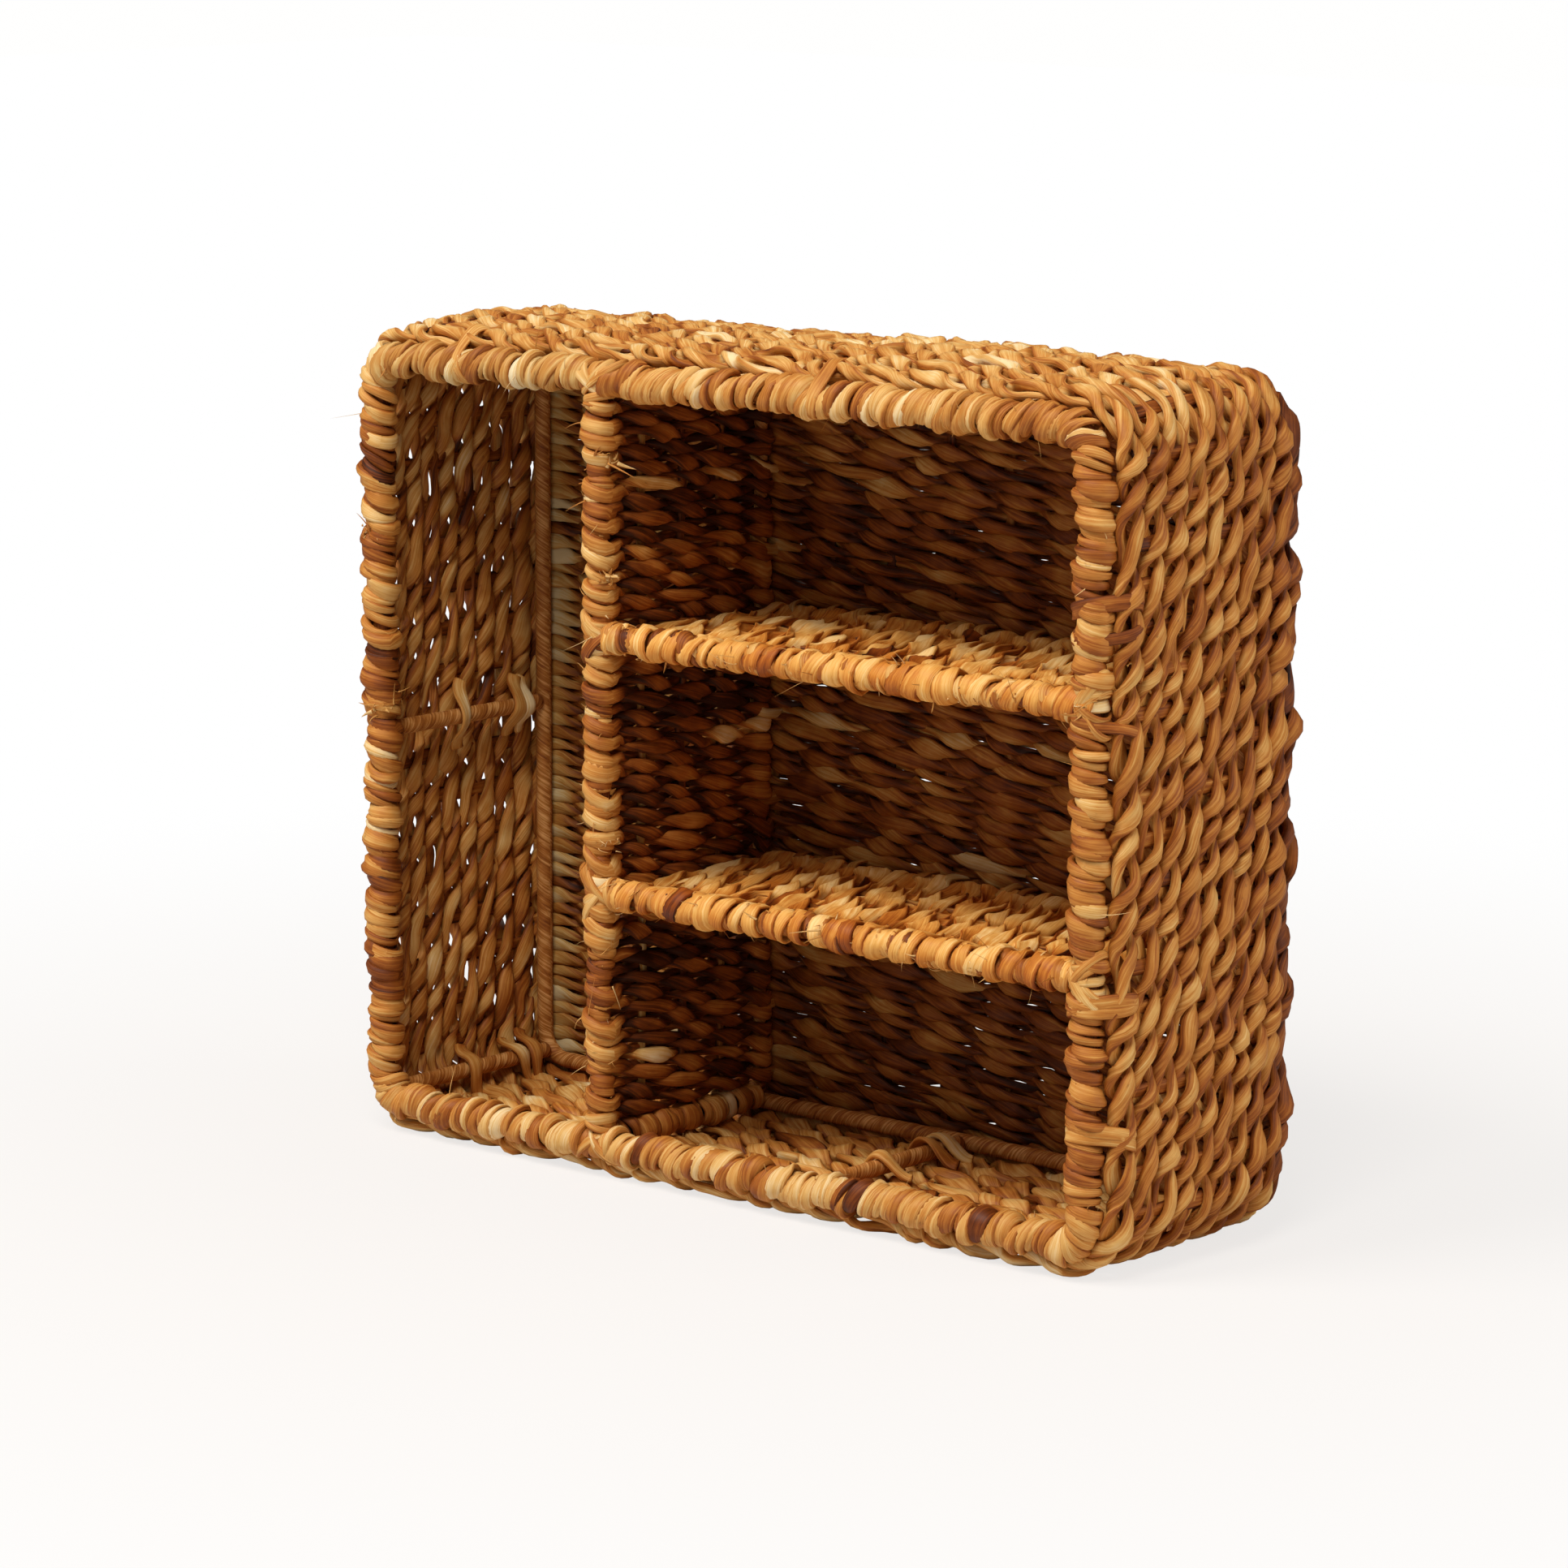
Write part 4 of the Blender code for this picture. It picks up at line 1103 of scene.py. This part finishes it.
def back_ties():
    """Closed bands that tie the divider's and the shelves' back wires to the woven back.

    Each is a stadium round the wire and the back's own rows, slanted along the wire, and no two are alike.
    """
    rng = np.random.default_rng(75)
    base_y = middle_of("base_weave")[1]
    t, slide = stadium()
    paths, faces = [], []
    for label, count in BACK_TIES:
        shares = (np.arange(count) + rng.uniform(0.1, 0.9, count)) / count
        middles = wire_points(label + "_back_wire", shares)
        axis = unit(middles[1] - middles[0])
        face = swung(t, -AXIS_Y, np.cross(AXIS_Y, axis))
        for middle in middles:
            reach = rng.uniform(3.9, 4.7) * MM * (1 - 0.25 * slide)
            slant = rng.uniform(-5, 5) * MM * np.sin(t + rng.uniform(-0.6, 0.6))
            paths.append(middle + ((base_y - middle[1]) * slide)[:, None] * AXIS_Y + reach[:, None] * face
                         + slant[:, None] * axis)
            faces.append(face)
    count = len(paths)
    tone = np.clip(rng.normal(0.66, 0.12, (count, 1)), 0.25, 0.92)
    width = rng.uniform(1.6, 2.8, (count, 1)) * MM
    strands("back_ties", np.array(paths), np.array(faces), width, TIE_DEPTH, tone, PANEL_LEAF, rng,
            closed=True)


straps()
back_ties()

RIM_FRAYS, POST_FRAYS, SHELF_FRAYS, TUFT_FRAYS = 90, 60, 50, 13
TUFTS = ((LEFT_X, 0.161, -1.0), (LEFT_X, 0.228, -1.6), (DIVIDER_X, 0.264, -0.3), (DIVIDER_X, 0.222, -0.2),
         (DIVIDER_X, 0.125, -0.4), (RIGHT_X, 0.2, -1.8))
LONGEST_FRAY = 8 * MM


def frays():
    """Loose fibres and leaf tips: each a parabola that leaves a rail or a knot and narrows to a point."""
    rng = np.random.default_rng(81)
    origins, sides = [], []

    def grow(x, z, side, reach):
        spot = np.stack(np.broadcast_arrays(x, MOUTH_Y, z), -1)
        origins.append(spot + reach * MM * side)
        sides.append(side)

    place, outward = RIM.at(rng.uniform(0, RIM.length, RIM_FRAYS))
    grow(place[:, 0], place[:, 2], swung(rng.uniform(0, TAU, RIM_FRAYS), outward, AXIS_Y), 5.6)
    z = rng.uniform(BOTTOM_Z + 10 * MM, TOP_Z - 10 * MM, POST_FRAYS)
    grow(DIVIDER_X, z, swung(rng.uniform(-np.pi, 0.2, POST_FRAYS), AXIS_X, AXIS_Y), 5.8)
    for height in SHELF_Z.values():
        x = rng.uniform(DIVIDER_X + 8 * MM, RIGHT_X - 8 * MM, SHELF_FRAYS)
        turn = rng.uniform(-np.pi, np.pi, SHELF_FRAYS)
        grow(x, height, np.stack([np.zeros(SHELF_FRAYS), -np.abs(np.cos(turn)), np.sin(turn)], -1), 5.6)
    tufts = np.array(TUFTS).repeat(TUFT_FRAYS, 0)
    turn = tufts[:, 2] + rng.normal(0, 0.25, len(tufts))
    grow(tufts[:, 0], tufts[:, 1], swung(turn, AXIS_X, AXIS_Y), 5.8)
    origins[-1] = origins[-1] + rng.normal(0, 1.4 * MM, origins[-1].shape)
    origin, away = np.vstack(origins), np.vstack(sides)
    count = len(origin)
    t = np.linspace(0, 1, 8)
    run = unit(rng.normal(0, 1, (count, 3)) + 0.9 * away)
    bend = rng.normal(0, 0.45, (count, 3))
    length = np.minimum(rng.gamma(2.2, 2.0 * MM, (count, 1, 1)), LONGEST_FRAY)
    length[-len(tufts):] *= 0.7
    path = origin[:, None] + length * (t[:, None] * run[:, None] + t[:, None] ** 2 * bend[:, None])
    broad = np.append(np.ones(count - len(tufts)), np.full(len(tufts), 1.9))[:, None]
    width = broad * rng.uniform(0.12, 0.5, (count, 1)) * MM * (1.02 - t) ** 0.7
    face = np.broadcast_to(away[:, None], path.shape) + 0.001
    tone = rng.uniform(0.55, 0.95, (count, 1))
    strands("frayed_fibres", path, face, width, 0.5 * width, tone, RAIL_LEAF, rng, sides=5)


frays()


# Floor, light and camera

FLOOR_HALF = 6.0
FLOOR_COLOUR = (0.72, 0.68, 0.645, 1)
# The floor's glow is white far off and warmer near the basket: painted warm shade, as of light bounced off
# the leaf.
FLOOR_GLOW_AND_WARM_SHADE = ((0.77, (1, 0.976, 0.955)), (1.0, (1, 1, 1)))
SKY_COLOUR, SKY_STRENGTH = (1, 0.997, 0.99, 1), 0.15
LAMP_TARGET = (0.0, 0.0, 0.15)
LAMPS = (("key", (-0.85, -1.6, 2.3), 1.2, 55, (1, 0.975, 0.94)),
         ("front", (0.75, -1.45, 2.3), 0.9, 37, (1, 0.985, 0.96)),
         ("fill", (2.2, 0.8, 1.0), 1.6, 21, (1, 0.985, 0.96)))
CAMERA_PLACE = (1.265, -1.498, 0.509)
CAMERA_LENS = 127.1
CAMERA_DEGREES = (40.39, 10.49, 0.20)


def floor():
    """A plain pale floor that shows white to the camera and keeps a soft shadow."""
    mesh = bpy.data.meshes.new("floor")
    r = FLOOR_HALF
    mesh.from_pydata([(-r, -r, 0), (r, -r, 0), (r, r, 0), (-r, r, 0)], [], [(0, 1, 2, 3)])
    material, nodes, shader = finish("pale floor")
    nodes.feed(shader, {"Base Color": FLOOR_COLOUR, "Roughness": 0.9, "Specular IOR Level": 0.1})
    away = nodes.add("VectorMath", [nodes.add("TexCoord").outputs["Object"]], operation="LENGTH")
    fade = nodes.between(away.outputs["Value"], 0.1, 0.8, 0.77, 1.0, "SMOOTHSTEP")
    # Near the basket the glow is warmer: painted warm shade.
    glow = nodes.add("Emission", {"Color": nodes.ramp(fade, FLOOR_GLOW_AND_WARM_SHADE)})
    share = nodes.maths("MULTIPLY", nodes.add("LightPath").outputs["Is Camera Ray"], fade)
    mix = nodes.add("MixShader", (share, shader.outputs[0], glow.outputs[0]))
    nodes.feed(nodes.tree.nodes["Material Output"], {"Surface": mix.outputs[0]})
    mesh.materials.append(material)
    shown("floor", mesh)


def placed(name, data, place, turn):
    """A lamp or camera at a place, turned so that its own axes are the three directions."""
    piece = shown(name, data)
    piece.matrix_world = Matrix.Translation(place) @ Matrix(np.stack(turn, 1).tolist()).to_4x4()
    return piece


def lamp(name, place, size, power, colour):
    """A square soft lamp that faces the basket."""
    data = bpy.data.lights.new(name, "AREA")
    data.size = size
    data.energy = power
    data.color = colour
    back = unit(np.array(place) - np.array(LAMP_TARGET))
    right = unit(np.cross(AXIS_Z, back))
    placed(name, data, place, (right, np.cross(back, right), back))


def world():
    """Even soft light, shown white to the camera and in reflections."""
    sky = bpy.data.worlds.new("studio")
    sky.use_nodes = True
    nodes = Nodes(sky.node_tree)
    seen = nodes.add("LightPath").outputs
    white = nodes.maths("MAXIMUM", seen["Is Camera Ray"], seen["Is Transmission Ray"])
    nodes.feed(sky.node_tree.nodes["Background"],
               {"Color": SKY_COLOUR, "Strength": nodes.between(white, 0, 1, SKY_STRENGTH, 1)})
    bpy.context.scene.world = sky


def camera():
    """The photograph's view: a long lens, a little above the basket and to its right."""
    data = bpy.data.cameras.new("camera")
    data.sensor_width = 36
    data.lens = CAMERA_LENS
    data.clip_end = 50
    yaw, pitch, roll = np.radians(CAMERA_DEGREES)
    right = swung(yaw, AXIS_X, AXIS_Y)
    ahead = swung(pitch, swung(yaw, AXIS_Y, -AXIS_X), -AXIS_Z)
    up = np.cross(right, ahead)
    turn = (swung(roll, right, up), swung(roll, up, -right), -ahead)
    bpy.context.scene.camera = placed("camera", data, CAMERA_PLACE, turn)


floor()
world()
for values in LAMPS:
    lamp(*values)
camera()
bpy.context.scene.view_settings.view_transform = "Standard"
